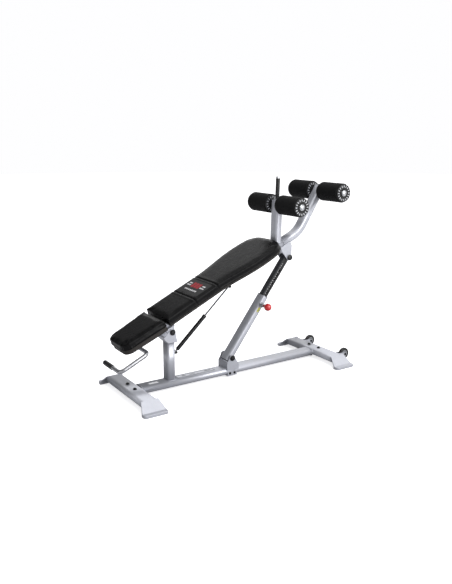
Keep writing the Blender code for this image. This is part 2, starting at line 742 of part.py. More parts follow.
def back_pad_half(s):
    """Half the back pad's width, s from its low end: wide at the shoulders, then rounded off."""
    half = BACK_PAD_HIP_HALF + (BACK_PAD_CHEST_HALF - BACK_PAD_HIP_HALF) * ease(s, *BACK_PAD_FLARE)
    past = max(0.0, (s - (BACK_PAD_LENGTH - BACK_PAD_ROUND)) / BACK_PAD_ROUND)
    return half * max(0.0, 1 - past**BACK_PAD_SQUARENESS) ** (1 / BACK_PAD_SQUARENESS)


def seat_pad_half(s):
    """Half the seat pad's width, s from its low end: rounded off there and a little narrower."""
    half = SEAT_PAD_LOW_HALF + (SEAT_PAD_HALF - SEAT_PAD_LOW_HALF) * ease(s, 0, SEAT_PAD_LENGTH)
    past = max(0.0, (SEAT_PAD_ROUND - s) / SEAT_PAD_ROUND)
    return half - SEAT_PAD_ROUND * (1 - math.sqrt(max(0.0, 1 - past**2)))


def pad_outline(half_width, stations, start, inset):
    """The closed outline, in (u, y), of a pad whose half width is given at each station."""
    length = max(stations)
    shrink = (length - 2 * inset) / length
    side = [(start + inset + s * shrink, half_width(s) - inset) for s in stations]
    side = [(u, y) for u, y in side if y > inset]
    return side + [(u, -y) for u, y in reversed(side)]


def pads():
    back_start = BACK_PAD_LENGTH - BACK_PAD_ROUND
    back_stations = [back_start * i / 12 for i in range(12)]
    back_stations += [back_start + BACK_PAD_ROUND * math.sin(math.pi / 2 * i / 10) for i in range(11)]
    seat_stations = [SEAT_PAD_ROUND * (1 - math.cos(math.pi / 2 * i / 8)) for i in range(9)]
    seat_stations += [SEAT_PAD_ROUND + (SEAT_PAD_LENGTH - SEAT_PAD_ROUND) * (i + 1) / 4 for i in range(4)]
    seat_low = BACK_PAD_LOW_U - PAD_GAP - SEAT_PAD_LENGTH
    for name, half_width, stations, start in (
        ("back", back_pad_half, back_stations, BACK_PAD_LOW_U),
        ("seat", seat_pad_half, seat_stations, seat_low),
    ):
        shape = pad_outline(half_width, stations, start, BOARD_INSET)
        skirt = SEAT_SKIRT if name == "seat" else 0
        board = prism(f"{name}_board", BOARD, shape, BOARD_N - skirt, BOARD_N + BOARD_T, "Z", BENCH)
        if skirt:
            inside = pad_outline(half_width, stations, start, BOARD_INSET + SEAT_SKIRT_T)
            cut_with(board, prism_mesh(inside, 0, BOARD_N, "hollow", "Z"), BENCH)
            side = TUBE_W / 2 + SEAT_RAIL_ROOM
            end = start + SEAT_PAD_LENGTH
            way = [(end + side, -side), (end + side, side), (end - side, side), (end - side, -side)]
            cut_with(board, prism_mesh(way, 0, BOARD_N, "rail_way", "Z"), BENCH)
        pad = pad_outline(half_width, stations, start, 0)
        prism(f"{name}_pad", VINYL, pad, PAD_N, PAD_TOP_N, "Z", BENCH)
    plate = rounded(PLATE_U, PLATE_Y, PLATE_U * 0.2)
    low = RAIL_TOP_N + TOUCH
    for name, u in (
        ("seat_plate", SEAT_PLATE_U),
        ("back_plate_low", BACK_PLATE_LOW_U),
        ("back_plate_high", BACK_PLATE_HIGH_U),
    ):
        prism(name, SILVER, plate, low, low + PLATE_T, "Z", BENCH, (u, 0, 0))


def carry_handle():
    """A bent tube: out from under the rail, down beside it, then across as a grip."""
    n = RAIL_BOTTOM_N - TOUCH - HANDLE_R
    r = HANDLE_BEND_R
    leg, grip = HANDLE_LEG_U - r, HANDLE_GRIP_U + r
    run = HANDLE_RUN_Y + r
    path = [(HANDLE_LEG_U, HANDLE_LEG_Y)]
    path += arc((leg, run), r, 0, -90, 6)
    path += arc((grip, run), r, -90, -180, 6)
    path += [(HANDLE_GRIP_U, HANDLE_END_Y)]
    curve = bpy.data.curves.new("carry_handle", "CURVE")
    curve.dimensions = "3D"
    curve.bevel_depth = HANDLE_R
    curve.bevel_resolution = 4
    curve.use_fill_caps = True
    spline = curve.splines.new("POLY")
    spline.points.add(len(path) - 1)
    for point, (u, y) in zip(spline.points, path):
        point.co = (u, y, n, 1)
    add("carry_handle", curve, STEEL, BENCH)
    inner = HANDLE_R + TOUCH
    outer = inner + GRIP_T
    end = HANDLE_END_Y + TOUCH
    profile = [
        (0, end + HANDLE_GRIP_END_T),
        (outer * 0.85, end + HANDLE_GRIP_END_T),
        (outer, end),
        (outer, HANDLE_GRIP_Y),
        (inner, HANDLE_GRIP_Y),
        (inner, end),
        (0, end),
    ]
    turned("carry_handle_rubber", RUBBER, profile, "Y", BENCH, (HANDLE_GRIP_U, 0, n))


def top_bracket():
    inner = TUBE_W / 2 + TOUCH
    half = inner + BRACKET_T
    web = RAIL_BOTTOM_N - TOUCH
    top = web + BRACKET_RISE
    spot = (STRUT_TOP_U, 0, STRUT_TOP_N)
    eye = arc((STRUT_TOP_U, STRUT_TOP_N), CHEEK_R, 200, 370, 12)
    outline = [(BRACKET_LOW_U, top), (BRACKET_LOW_U, web - BRACKET_RISE), *eye]
    outline += [(BRACKET_HIGH_U, web - BRACKET_RISE), (BRACKET_HIGH_U, top)]
    past, under = CHEEK_R * 3, web - BRACKET_WEB_T
    pocket = [
        (BRACKET_LOW_U - past, STRUT_TOP_N - past),
        (BRACKET_HIGH_U + past, STRUT_TOP_N - past),
        (BRACKET_HIGH_U + past, under),
        (BRACKET_LOW_U - past, under),
    ]
    bracket = cheeked("top_bracket", SILVER, outline, half, BRACKET_T, pocket, BENCH)
    rail_room = [
        (BRACKET_LOW_U - past, web),
        (BRACKET_HIGH_U + past, web),
        (BRACKET_HIGH_U + past, web + past),
        (BRACKET_LOW_U - past, web + past),
    ]
    cut_with(bracket, prism_mesh(rail_room, -inner, inner, "rail_room"), BENCH)
    bore(bracket, TOP_PIN_R + TOUCH, spot, half * 2, BENCH)
    profile = headed_profile(TOP_PIN_R, PIN_HEAD_R, PIN_HEAD_T, half + TOUCH)
    turned("top_pin", BLACK_STEEL, profile, "Y", BENCH, spot)


def strut():
    section = rounded(TUBE_W, TUBE_D, TUBE_R)
    sleeve_length = SLEEVE_END - SLEEVE_START
    sleeve = tube(
        "strut_sleeve", SILVER, section, [("run", sleeve_length)], TUBE_WALL, STRUT, (SLEEVE_START, 0, 0)
    )
    bore(sleeve, BARREL_R + TOUCH, (0, 0, 0), TUBE_W, STRUT)
    pull_hole = cylinder(PULL_R + RUN, -TUBE_W, -MAST_W / 2, SMALL_SIDES)
    cut_with(sleeve, pull_hole, STRUT, (PULL_X, 0, 0))
    half = BEAM_W / 2 + TOUCH - SIDE
    hole = PIN_R + RUN
    profile = [(hole, half), (BARREL_R, half), (BARREL_R, -half), (hole, -half)]
    turned("strut_barrel", STEEL, profile, "Y", STRUT, (0, 0, 0), ROUND_SIDES, True)

    slack = 2 * (TUBE_WALL + TOUCH)
    insert_section = rounded(TUBE_W - slack, TUBE_D - slack, TUBE_R - TUBE_WALL)
    insert = prism_mesh(insert_section, SLEEVE_END - BUSH_LENGTH, SLEEVE_END + BUSH_LIP_T, "insert", "X")
    lip_start = SLEEVE_END + TOUCH
    bush = prism("strut_bush", PLASTIC, section, lip_start, SLEEVE_END + BUSH_LIP_T, "X", STRUT)
    combine(bush, add("bush_insert", insert, None, STRUT), "UNION")
    mast_hole = rounded(MAST_W + 2 * RUN, MAST_D + 2 * RUN, MAST_R + RUN)
    mouth = prism_mesh(mast_hole, SLEEVE_END - 2 * BUSH_LENGTH, SLEEVE_END + BUSH_LENGTH, "mouth", "X")
    cut_with(bush, mouth, STRUT)

    mast_end = STRUT_LENGTH + MAST_PAST_PIN
    mast = tube(
        "strut_mast",
        MAST_GREY,
        rounded(MAST_W, MAST_D, MAST_R),
        [("run", mast_end - MAST_START)],
        MAST_WALL,
        STRUT,
        (MAST_START, 0, 0),
    )
    eye_half = TUBE_W / 2 + TOUCH - SIDE
    eye = cylinder(TOP_EYE_R, -eye_half, eye_half)
    combine(mast, add("mast_eye", eye, None, STRUT, (STRUT_LENGTH, 0, 0)), "UNION")
    bore(mast, TOP_PIN_R + OPEN_PIVOT, (STRUT_LENGTH, 0, 0), TUBE_W, STRUT)
    floor_y = -MAST_W / 2 + GROOVE_DEPTH
    g = GROOVE_W / 2
    groove_end = STRUT_LENGTH - TOP_EYE_R - g / 2
    groove = [(MAST_START + g, -g), (groove_end, -g), (groove_end, g), (MAST_START + g, g)]
    cut_with(mast, prism_mesh(groove, -TUBE_W, floor_y, "groove"), STRUT)
    for i in range(-HOLES_BELOW, HOLES_ABOVE):
        drill = cylinder(HOLE_R, -TUBE_W, 0, SMALL_SIDES)
        cut_with(mast, drill, STRUT, (PULL_X + i * HOLE_PITCH, 0, 0))


def pull_pin():
    """The housing stands on the sleeve's near side, and the pin's tip rides in the mast's groove."""
    face = TUBE_W / 2 + TOUCH
    hole = PULL_R + RUN
    end = face + HOUSING_LENGTH
    profile = [
        (hole, -face),
        (HOUSING_FLANGE_R, -face),
        (HOUSING_FLANGE_R, -face - HOUSING_FLANGE_T),
        (HOUSING_R, -face - HOUSING_FLANGE_T),
        (HOUSING_R, -end + 0.003),
        (HOUSING_R - 0.003, -end),
        (hole, -end),
    ]
    turned("pull_pin_housing", STEEL, profile, "Y", STRUT, (PULL_X, 0, 0), SMALL_SIDES, True)
    tip = MAST_W / 2 - GROOVE_DEPTH + PULL_TIP
    ball = arc((0, -KNOB_Y), KNOB_R, 90 - math.degrees(math.asin(PULL_R / KNOB_R)), -90, 9)
    profile = [(0, -tip), (PULL_R, -tip), *ball[:-1], (0, -KNOB_Y - KNOB_R)]
    turned("pull_pin", RED, profile, "Y", STRUT, (PULL_X, 0, 0))


def gas_spring():
    def eye(piece, x, room):
        """The eye, as a short cylinder across the spring, joined on and bored."""
        ring = cylinder(GAS_EYE_R, -GAS_EYE_W / 2, GAS_EYE_W / 2, SMALL_SIDES)
        combine(piece, add(f"{piece.name}_eye", ring, None, GAS, (x, 0, 0)), "UNION")
        bore(piece, GAS_PIN_R + room, (x, 0, 0), GAS_EYE_W, GAS, SMALL_SIDES)

    neck, start = GAS_EYE_R * 0.5, GAS_EYE_R * 1.6
    profile = [
        (0, GAS_TUBE_END),
        (GAS_TUBE_R - 0.002, GAS_TUBE_END),
        (GAS_TUBE_R, GAS_TUBE_END - 0.002),
        (GAS_TUBE_R, start + 0.004),
        (GAS_TUBE_R - 0.004, start),
        (neck, start),
        (neck, GAS_EYE_R * 0.8),
        (0, GAS_EYE_R * 0.8),
    ]
    spring = turned("gas_cylinder", BLACK_STEEL, profile, "X", GAS)
    well = round_cutter(GAS_ROD_R + RUN, GAS_ROD_START - GAS_TRAVEL, GAS_TUBE_END + GAS_ROD_R)
    cut_with(spring, well, GAS, (0, 0, 0), TURN_TO["X"])
    eye(spring, 0, RUN)
    rod_end = GAS_LENGTH - GAS_EYE_R * 0.8
    profile = [(0, rod_end), (GAS_ROD_R, rod_end), (GAS_ROD_R, GAS_ROD_START), (0, GAS_ROD_START)]
    rod = turned("gas_rod", CHROME, profile, "X", GAS, (0, 0, 0), SMALL_SIDES)
    eye(rod, GAS_LENGTH, GAS_OPEN_PIVOT)


def gas_lugs():
    """Each lug is a small fork with its pin in it. One stands on the post, one hangs from the rail."""
    reach = GAS_FOOT_OUT - TOUCH
    drop = RAIL_BOTTOM_N - TOUCH - GAS_TOP_N
    inner = GAS_EYE_W / 2 + SIDE
    e = GAS_EYE_R
    low_shape = [(-reach, -LUG_HALF), *arc((0, 0), e, -90, 90, 8), (-reach, LUG_HALF)]
    low_pocket = [(LUG_T - reach, -2 * e), (2 * e, -2 * e), (2 * e, 2 * e), (LUG_T - reach, 2 * e)]
    high_shape = [(LUG_HALF, drop), (-LUG_HALF, drop), *arc((0, 0), e, 180, 360, 8)]
    top = drop - LUG_T
    high_pocket = [(2 * e, top), (-2 * e, top), (-2 * e, -2 * e), (2 * e, -2 * e)]
    for name, shape, pocket, parent, spot in (
        ("gas_lug_low", low_shape, low_pocket, None, GAS_FOOT),
        ("gas_lug_high", high_shape, high_pocket, BENCH, (GAS_TOP_U, 0, GAS_TOP_N)),
    ):
        lug = cheeked(name, SILVER, shape, inner + LUG_T, LUG_T, pocket, parent, spot)
        half = inner + 2 * LUG_T
        pin = cylinder(GAS_PIN_R, -half, half, SMALL_SIDES)
        combine(lug, add(f"{name}_pin", pin, None, parent, spot), "UNION")


def build():
    base_tubes()
    for name, x in (("head", HEAD_X), ("tail", TAIL_X)):
        for side, sign in SIDES.items():
            foot(f"{name}_foot_{side}", x, sign)
    post_and_yoke()
    saddle_and_strap()
    wheels()
    rail_and_hub()
    curved_arm()
    roller_post_and_bar()
    rollers()
    pads()
    carry_handle()
    top_bracket()
    strut()
    pull_pin()
    gas_spring()
    gas_lugs()


build()
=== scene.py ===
"""Decline sit-up bench: the finished look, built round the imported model. Sizes are in metres."""

import json
import math

import bmesh
import bpy
from mathutils import Matrix, Vector, noise


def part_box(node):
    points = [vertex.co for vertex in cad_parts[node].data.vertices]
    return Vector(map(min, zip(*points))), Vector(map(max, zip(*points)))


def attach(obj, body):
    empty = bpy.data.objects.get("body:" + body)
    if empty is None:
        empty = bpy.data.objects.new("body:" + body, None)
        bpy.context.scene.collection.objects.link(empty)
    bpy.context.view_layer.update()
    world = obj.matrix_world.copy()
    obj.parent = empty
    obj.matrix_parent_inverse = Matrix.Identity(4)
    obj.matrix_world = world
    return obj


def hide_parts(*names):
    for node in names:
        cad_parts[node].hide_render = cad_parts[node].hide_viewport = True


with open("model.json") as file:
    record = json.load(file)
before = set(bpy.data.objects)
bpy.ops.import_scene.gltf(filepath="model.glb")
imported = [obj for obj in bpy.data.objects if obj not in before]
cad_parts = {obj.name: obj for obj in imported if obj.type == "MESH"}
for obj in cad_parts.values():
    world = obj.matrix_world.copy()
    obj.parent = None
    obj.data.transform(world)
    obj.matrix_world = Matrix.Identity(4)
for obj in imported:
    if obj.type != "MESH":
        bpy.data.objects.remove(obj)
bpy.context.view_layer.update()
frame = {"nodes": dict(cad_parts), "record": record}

# Studio. A pale floor that runs on to a white surround, with one large soft light on the bench's
# near side, weaker ones above and behind, and a low fill from the head end.
CAMERA_PLACE = (-2.3272, -3.4878, 1.5686)
CAMERA_PAN, CAMERA_DIP = -33.19, 13.43
CAMERA_LENS = 40.77
BRIGHT_SIDE = (0.85, -0.37, 0.37)  # towards the bright side of the surround


def linear(hex_colour):
    """An sRGB hex colour as linear RGBA."""
    channels = [int(hex_colour[i : i + 2], 16) / 255 for i in (1, 3, 5)]
    return (*[c / 12.92 if c <= 0.04045 else ((c + 0.055) / 1.055) ** 2.4 for c in channels], 1.0)


def add_node(tree, kind, settings=None, inputs=None, links=None):
    """Adds a node, with its settings, its inputs' values and what its inputs are linked from."""
    new = tree.nodes.new(kind)
    for key, value in (settings or {}).items():
        setattr(new, key, value)
    for key, value in (inputs or {}).items():
        new.inputs[key].default_value = value
    for key, socket in (links or {}).items():
        tree.links.new(socket, new.inputs[key])
    return new


def stand_in_scene(obj):
    bpy.context.scene.collection.objects.link(obj)
    return obj


camera = stand_in_scene(bpy.data.objects.new("studio_camera", bpy.data.cameras.new("studio_camera")))
camera.data.lens = CAMERA_LENS
camera.location = CAMERA_PLACE
camera.rotation_euler = (math.radians(90 - CAMERA_DIP), 0, math.radians(CAMERA_PAN))
bpy.context.scene.camera = camera
bpy.context.scene.view_settings.view_transform = "Standard"

world = bpy.data.worlds.new("studio")
bpy.context.scene.world = world
world.use_nodes = True
sky = world.node_tree
looks = add_node(sky, "ShaderNodeTexCoord").outputs["Generated"]
facing = add_node(
    sky, "ShaderNodeVectorMath", {"operation": "DOT_PRODUCT"}, {1: BRIGHT_SIDE}, {0: looks}
).outputs["Value"]
falloff = add_node(
    sky,
    "ShaderNodeMapRange",
    {"interpolation_type": "SMOOTHSTEP"},
    {"From Min": -0.40, "From Max": 0.78, "To Min": 0.18, "To Max": 1.28},
    {"Value": facing},
).outputs["Result"]
seen = add_node(sky, "ShaderNodeLightPath").outputs["Is Camera Ray"]
surround = add_node(
    sky, "ShaderNodeMix", {"data_type": "FLOAT"}, {"B": 1.0}, {"Factor": seen, "A": falloff}
)
sky.nodes["Background"].inputs["Color"].default_value = linear("#FEFEFF")
sky.links.new(surround.outputs["Result"], sky.nodes["Background"].inputs["Strength"])

for name, place, size, watts in (
    ("key", (0.6, -3.9, 2.3), 3.2, 125),
    ("over", (0.2, 0.2, 3.6), 2.6, 14),
    ("back", (1.6, 3.6, 2.6), 2.4, 8),
    ("head_fill", (-3.6, -0.6, 1.4), 2.2, 11),
):
    lamp = stand_in_scene(bpy.data.objects.new(name, bpy.data.lights.new(name, "AREA")))
    lamp.data.size = size
    lamp.data.energy = watts
    lamp.location = place
    lamp.rotation_euler = (Vector((0, 0, 0.5)) - Vector(place)).to_track_quat("-Z", "Y").to_euler()

# Seamless paper: the eye sees it white to its edge, and it throws little light back up; to all other rays it
# is painted darker near the middle, a painted shade under the bench.
floor_paper = bpy.data.materials.new("seamless_paper")
floor_paper.use_nodes = True
paper = floor_paper.node_tree
sheet_shader = paper.nodes["Principled BSDF"]
sheet_shader.inputs["Roughness"].default_value = 0.9
seen = add_node(paper, "ShaderNodeLightPath").outputs["Is Camera Ray"]
out_from_middle = add_node(
    paper,
    "ShaderNodeVectorMath",
    {"operation": "LENGTH"},
    None,
    {0: add_node(paper, "ShaderNodeTexCoord").outputs["Object"]},
).outputs["Value"]
reach = add_node(
    paper, "ShaderNodeMapRange", None, {"From Min": 0.5, "From Max": 1.8}, {"Value": out_from_middle}
)
# Painted shade: for all but camera rays the paper is #9C9CA0 within 0.5 m of the middle, under the bench,
# paling to #E6E6E8 by 1.8 m out.
painted_shade_under_bench = add_node(paper, "ShaderNodeMix", {"data_type": "RGBA"})
paper.links.new(reach.outputs["Result"], painted_shade_under_bench.inputs["Factor"])
painted_shade_under_bench.inputs[6].default_value = linear("#9C9CA0")
painted_shade_under_bench.inputs[7].default_value = linear("#E6E6E8")
tint = add_node(paper, "ShaderNodeMix", {"data_type": "RGBA"})
paper.links.new(seen, tint.inputs["Factor"])
paper.links.new(painted_shade_under_bench.outputs[2], tint.inputs[6])
tint.inputs[7].default_value = linear("#F2F2F3")
paper.links.new(tint.outputs[2], sheet_shader.inputs["Base Color"])
sheet_shader.inputs["Emission Color"].default_value = linear("#FAFAFB")
lift = add_node(paper, "ShaderNodeMath", {"operation": "MULTIPLY"}, {1: 0.74}, {0: seen})
paper.links.new(lift.outputs["Value"], sheet_shader.inputs["Emission Strength"])
bm = bmesh.new()
bmesh.ops.create_circle(bm, cap_ends=True, segments=64, radius=24.0)
ground = bpy.data.meshes.new("studio_floor")
bm.to_mesh(ground)
bm.free()
ground.materials.append(floor_paper)
stand_in_scene(bpy.data.objects.new("studio_floor", ground))


# Base tubes. Flat-oval beam and crossbars of 3 mm steel tube, with an oblong post welded on.
# They are shot blasted, sprayed with silver powder coat and baked: metal flake under a smooth,
# faintly rippled skin.
BEHAVIOUR = frame["record"]["behaviour"]
BODY_OF = {node: body for body, nodes in BEHAVIOUR["bodies"].items() for node in nodes}
JOINT = {joint["name"]: joint for joint in BEHAVIOUR["joints"]}
TUBE_WALL = 0.003
CORNER_STEPS = 8
BEAM_TUBE = (0.098, 0.047, 0.0225)  # across the tube, deep, corner radius
CROSSBAR_TUBE = (0.106, 0.047, 0.020)
POST_TUBE = (0.075, 0.055, 0.017)


def finish(name, colours, grain, rough, metallic=0.0, relief=None, **shader_values):
    """A surface that drifts between two close colours and two roughnesses over that grain.

    relief is (depth, grain) of its fine bumps. Grains and depths are in millimetres.
    """
    material = bpy.data.materials.new(name)
    material.use_nodes = True
    tree = material.node_tree
    shader = tree.nodes["Principled BSDF"]
    shader.inputs["Metallic"].default_value = metallic
    for key, value in shader_values.items():
        shader.inputs[key.replace("_", " ")].default_value = value
    place = add_node(tree, "ShaderNodeTexCoord").outputs["Object"]
    drift = add_node(
        tree, "ShaderNodeTexNoise", None, {"Scale": 1000 / grain, "Detail": 4.0}, {"Vector": place}
    ).outputs["Fac"]
    blend = add_node(tree, "ShaderNodeMix", {"data_type": "RGBA"})
    tree.links.new(drift, blend.inputs["Factor"])
    blend.inputs[6].default_value = linear(colours[0])
    blend.inputs[7].default_value = linear(colours[1])
    tree.links.new(blend.outputs[2], shader.inputs["Base Color"])
    gloss = add_node(
        tree,
        "ShaderNodeMapRange",
        None,
        {"From Min": 0.3, "From Max": 0.7, "To Min": rough[0], "To Max": rough[1]},
        {"Value": drift},
    )
    tree.links.new(gloss.outputs["Result"], shader.inputs["Roughness"])
    if relief:
        ripple = add_node(
            tree,
            "ShaderNodeTexNoise",
            None,
            {"Scale": 1000 / relief[1], "Detail": 3.0},
            {"Vector": place},
        )
        bump = add_node(
            tree, "ShaderNodeBump", None, {"Distance": relief[0] / 1000}, {"Height": ripple.outputs["Fac"]}
        )
        tree.links.new(bump.outputs["Normal"], shader.inputs["Normal"])
    return material


def piece(name, bm, material, like, replaced=(), at=None, bevel=0.0, smooth_to=35):
    """Makes bm a finished piece in that material, which rides with the CAD node like and hides the nodes it
    replaces.
    """
    bmesh.ops.remove_doubles(bm, verts=bm.verts, dist=0.000002)
    bmesh.ops.recalc_face_normals(bm, faces=bm.faces)
    if at is not None:
        bm.transform(at)
    mesh = bpy.data.meshes.new(name)
    bm.to_mesh(mesh)
    bm.free()
    mesh.shade_smooth()
    mesh.set_sharp_from_angle(angle=math.radians(smooth_to))
    mesh.materials.clear()
    mesh.materials.append(material)
    made = stand_in_scene(bpy.data.objects.new(name, mesh))
    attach(made, BODY_OF[like])
    if replaced:
        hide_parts(*replaced)
    if bevel:
        edge = made.modifiers.new("eased_edges", "BEVEL")
        edge.width = bevel
        edge.segments = 2
        edge.limit_method = "ANGLE"
        edge.angle_limit = math.radians(smooth_to)
        edge.harden_normals = True
    return made


def panel(bm, width, depth, radius):
    """A flat rounded oblong at the origin, facing X: width along Y and depth along Z."""
    new = bmesh.ops.create_grid(bm, x_segments=1, y_segments=1, size=0.5)["verts"]
    bmesh.ops.scale(bm, verts=new, vec=(depth, width, 1))
    steps = {"segments": CORNER_STEPS, "profile": 0.5, "affect": "VERTICES", "material": -1}
    bmesh.ops.bevel(bm, geom=new, offset=radius, **steps)
    bmesh.ops.rotate(bm, verts=bm.verts, matrix=Matrix.Rotation(-math.pi / 2, 3, "Y"))
    return bm.faces[:]


def tube(name, section, moves, like, at, replaced=None, wall=TUBE_WALL):
    """A tube drawn along +X by ("run", length) and ("bend", radius, angle)."""
    bm = bmesh.new()
    bmesh.ops.delete(bm, geom=panel(bm, *section), context="FACES_ONLY")
    edges = bm.edges[:]
    spot, heading = Vector(), 0.0
    for move in moves:
        if move[0] == "run":
            ahead = Vector((math.cos(heading), 0, math.sin(heading))) * move[1]
            grown = bmesh.ops.extrude_edge_only(bm, edges=edges)["geom"]
            verts = [v for v in grown if isinstance(v, bmesh.types.BMVert)]
            bmesh.ops.translate(bm, verts=verts, vec=ahead)
            spot += ahead
        else:
            radius, angle = move[1:]
            centre = spot + Vector((-math.sin(heading), 0, math.cos(heading))) * radius
            heading += angle
            spot = centre + Vector((math.sin(heading), 0, -math.cos(heading))) * radius
            grown = bmesh.ops.spin(bm, geom=edges, cent=centre, axis=(0, -1, 0), angle=angle, steps=14)
            grown = grown["geom_last"]
        edges = [e for e in grown if isinstance(e, bmesh.types.BMEdge)]
    made = piece(name, bm, powder_coat, like, replaced or (like,), at)
    shell = made.modifiers.new("wall", "SOLIDIFY")
    shell.thickness = wall
    shell.offset = -1
    shell.use_even_offset = True
    return made


# Baked metallic powder: a grey pigment with aluminium flake, so it mirrors softly and its edges
# glint. The flake drifts over centimetres, and the skin has an orange peel of about 3 mm.
powder_coat = finish(
    "silver_metallic_powder_coat",
    ("#B5B7BF", "#C1C3CA"),
    24,
    (0.33, 0.40),
    0.50,
    (0.05, 3.0),
    Coat_Weight=0.3,
    Coat_Roughness=0.15,
)
beam_low, beam_high = map(Vector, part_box("main_beam"))
beam_middle = (beam_low.z + beam_high.z) / 2
tube(
    "beam_tube",
    BEAM_TUBE,
    [("run", beam_high.x - beam_low.x)],
    "main_beam",
    Matrix.Translation((beam_low.x, 0, beam_middle)),
)
ENDS = {}
for end in ("head", "tail"):
    low, high = map(Vector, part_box(f"{end}_crossbar"))
    ENDS[end] = (low + high) / 2
    across = Matrix.Translation((ENDS[end].x, low.y, ENDS[end].z)) @ Matrix.Rotation(math.pi / 2, 4, "Z")
    tube(f"{end}_crossbar_tube", CROSSBAR_TUBE, [("run", high.y - low.y)], f"{end}_crossbar", across)
post_low, post_high = map(Vector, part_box("post"))
post_x = (post_low.x + post_high.x) / 2
UPRIGHT = Matrix.Rotation(-math.pi / 2, 4, "Y")
post_foot = Matrix.Translation((post_x, 0, post_low.z)) @ UPRIGHT
tube("post_tube", POST_TUBE, [("run", post_high.z - post_low.z)], "post", post_foot)


# Brackets and feet. They are laser cut from 4 to 6 mm plate, folded, deburred and powder coated
# with the tubes, so every cut edge is slightly rounded.
def refine(node, material, bevel=0.0, smooth_to=35):
    """A copy of a CAD node with its flat triangles joined, its edges eased and its turns smooth."""
    bm = bmesh.new()
    bm.from_mesh(frame["nodes"][node].data)
    bmesh.ops.remove_doubles(bm, verts=bm.verts, dist=0.00002)
    bmesh.ops.dissolve_limit(bm, angle_limit=0.02, verts=bm.verts, edges=bm.edges)
    made = piece(f"{node}_finished", bm, material, node, (node,), None, bevel, smooth_to)
    if not bevel:
        level = made.modifiers.new("flat_faces", "WEIGHTED_NORMAL")
        level.keep_sharp = True
    return made


CORNERS = [(end, side) for end in ("head", "tail") for side in ("near", "far")]
for end, side in CORNERS:
    refine(f"{end}_foot_{side}", powder_coat, 0.0014)
for node in ("yoke", "strut_saddle", "saddle_strap", "top_bracket"):
    refine(node, powder_coat, 0.0010)
for node in ("wheel_fork_near", "wheel_fork_far", "gas_lug_low", "gas_lug_high", "pivot_hub"):
    refine(node, powder_coat, 0.0006)


# Weld beads. The tubes are joined by one gas-shielded fillet round each joint, ground a little
# and coated over, so each shows as a soft, slightly uneven ridge.
BEAD = 0.0024


def weld(name, section, like, at):
    """A bead round a tube of that section, standing on the YZ plane of at."""
    bm = bmesh.new()
    panel(bm, section[0] + BEAD, section[1] + BEAD, section[2] + BEAD / 2)
    bmesh.ops.subdivide_edges(bm, edges=[e for e in bm.edges if e.calc_length() > 0.01], cuts=9)
    loop = bm.faces[:][0].loops[0]
    ring = []
    for _ in range(len(bm.verts)):
        ring.append(loop.vert.co.copy())
        loop = loop.link_loop_next
    bm.free()
    curve = bpy.data.curves.new(name, "CURVE")
    curve.dimensions = "3D"
    curve.bevel_depth = BEAD
    curve.bevel_resolution = 3
    spline = curve.splines.new("POLY")
    spline.points.add(len(ring) - 1)
    spline.use_cyclic_u = True
    for i, (point, spot) in enumerate(zip(spline.points, ring)):
        point.co = (*spot, 1)
        point.radius = 1 + 0.16 * math.sin(i * 1.9) * math.sin(i * 0.7)
    drawn = bpy.data.objects.new(name, curve)
    bm = bmesh.new()
    bm.from_mesh(bpy.data.meshes.new_from_object(drawn))
    bpy.data.objects.remove(drawn)
    return piece(name, bm, powder_coat, like, (), at, 0.0, 60)


weld("post_foot_weld", POST_TUBE, "post", post_foot)
weld("yoke_weld", POST_TUBE, "post", Matrix.Translation((post_x, 0, post_high.z - 0.0008)) @ UPRIGHT)
for end, x in (("head", beam_low.x), ("tail", beam_high.x)):
    weld(f"{end}_beam_weld", BEAM_TUBE, "main_beam", Matrix.Translation((x, 0, beam_middle)))
for end, side in CORNERS:
    low, high = map(Vector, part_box(f"{end}_crossbar"))
    y = low.y if side == "near" else high.y
    ring = Matrix.Translation((ENDS[end].x, y, ENDS[end].z)) @ Matrix.Rotation(math.pi / 2, 4, "Z")
    weld(f"{end}_foot_weld_{side}", CROSSBAR_TUBE, f"{end}_crossbar", ring)


# Crossbar bolts. Four M10 hexagon bolts with black oxide finish and crowned heads, each with a
# washer above the tube and a nut below it.
BOLT_R, HEX_R, WASHER_R = 0.0050, 0.0105, 0.0130
DOME_UP, DOME_R = 0.0035, 0.0082  # the rounded crown on each head


def lathe(bm, profile, steps=64, ring=False):
    """Turns a profile of (along Z, radius) points, closing it on itself when it is a ring."""
    verts = [bm.verts.new((r, 0, along)) for along, r in profile]
    pairs = zip(verts, verts[1:] + (verts[:1] if ring else []))
    edges = [bm.edges.new(pair) for pair in pairs]
    spin = {"cent": (0, 0, 0), "axis": (0, 0, 1), "angle": math.tau, "steps": steps}
    bmesh.ops.spin(bm, geom=verts + edges, use_merge=True, **spin)


def hexagon(bm, low, high, radius):
    """A hexagon head or nut with its top corners turned off."""
    new = bmesh.ops.create_cone(
        bm, cap_ends=True, segments=6, radius1=radius, radius2=radius, depth=high - low
    )["verts"]
    bmesh.ops.translate(bm, verts=new, vec=(0, 0, (low + high) / 2))
    top = [e for e in bm.edges if all(v in new and abs(v.co.z - high) < 1e-6 for v in e.verts)]
    bmesh.ops.bevel(
        bm, geom=top, offset=radius * 0.11, segments=2, profile=0.5, affect="EDGES", material=-1
    )


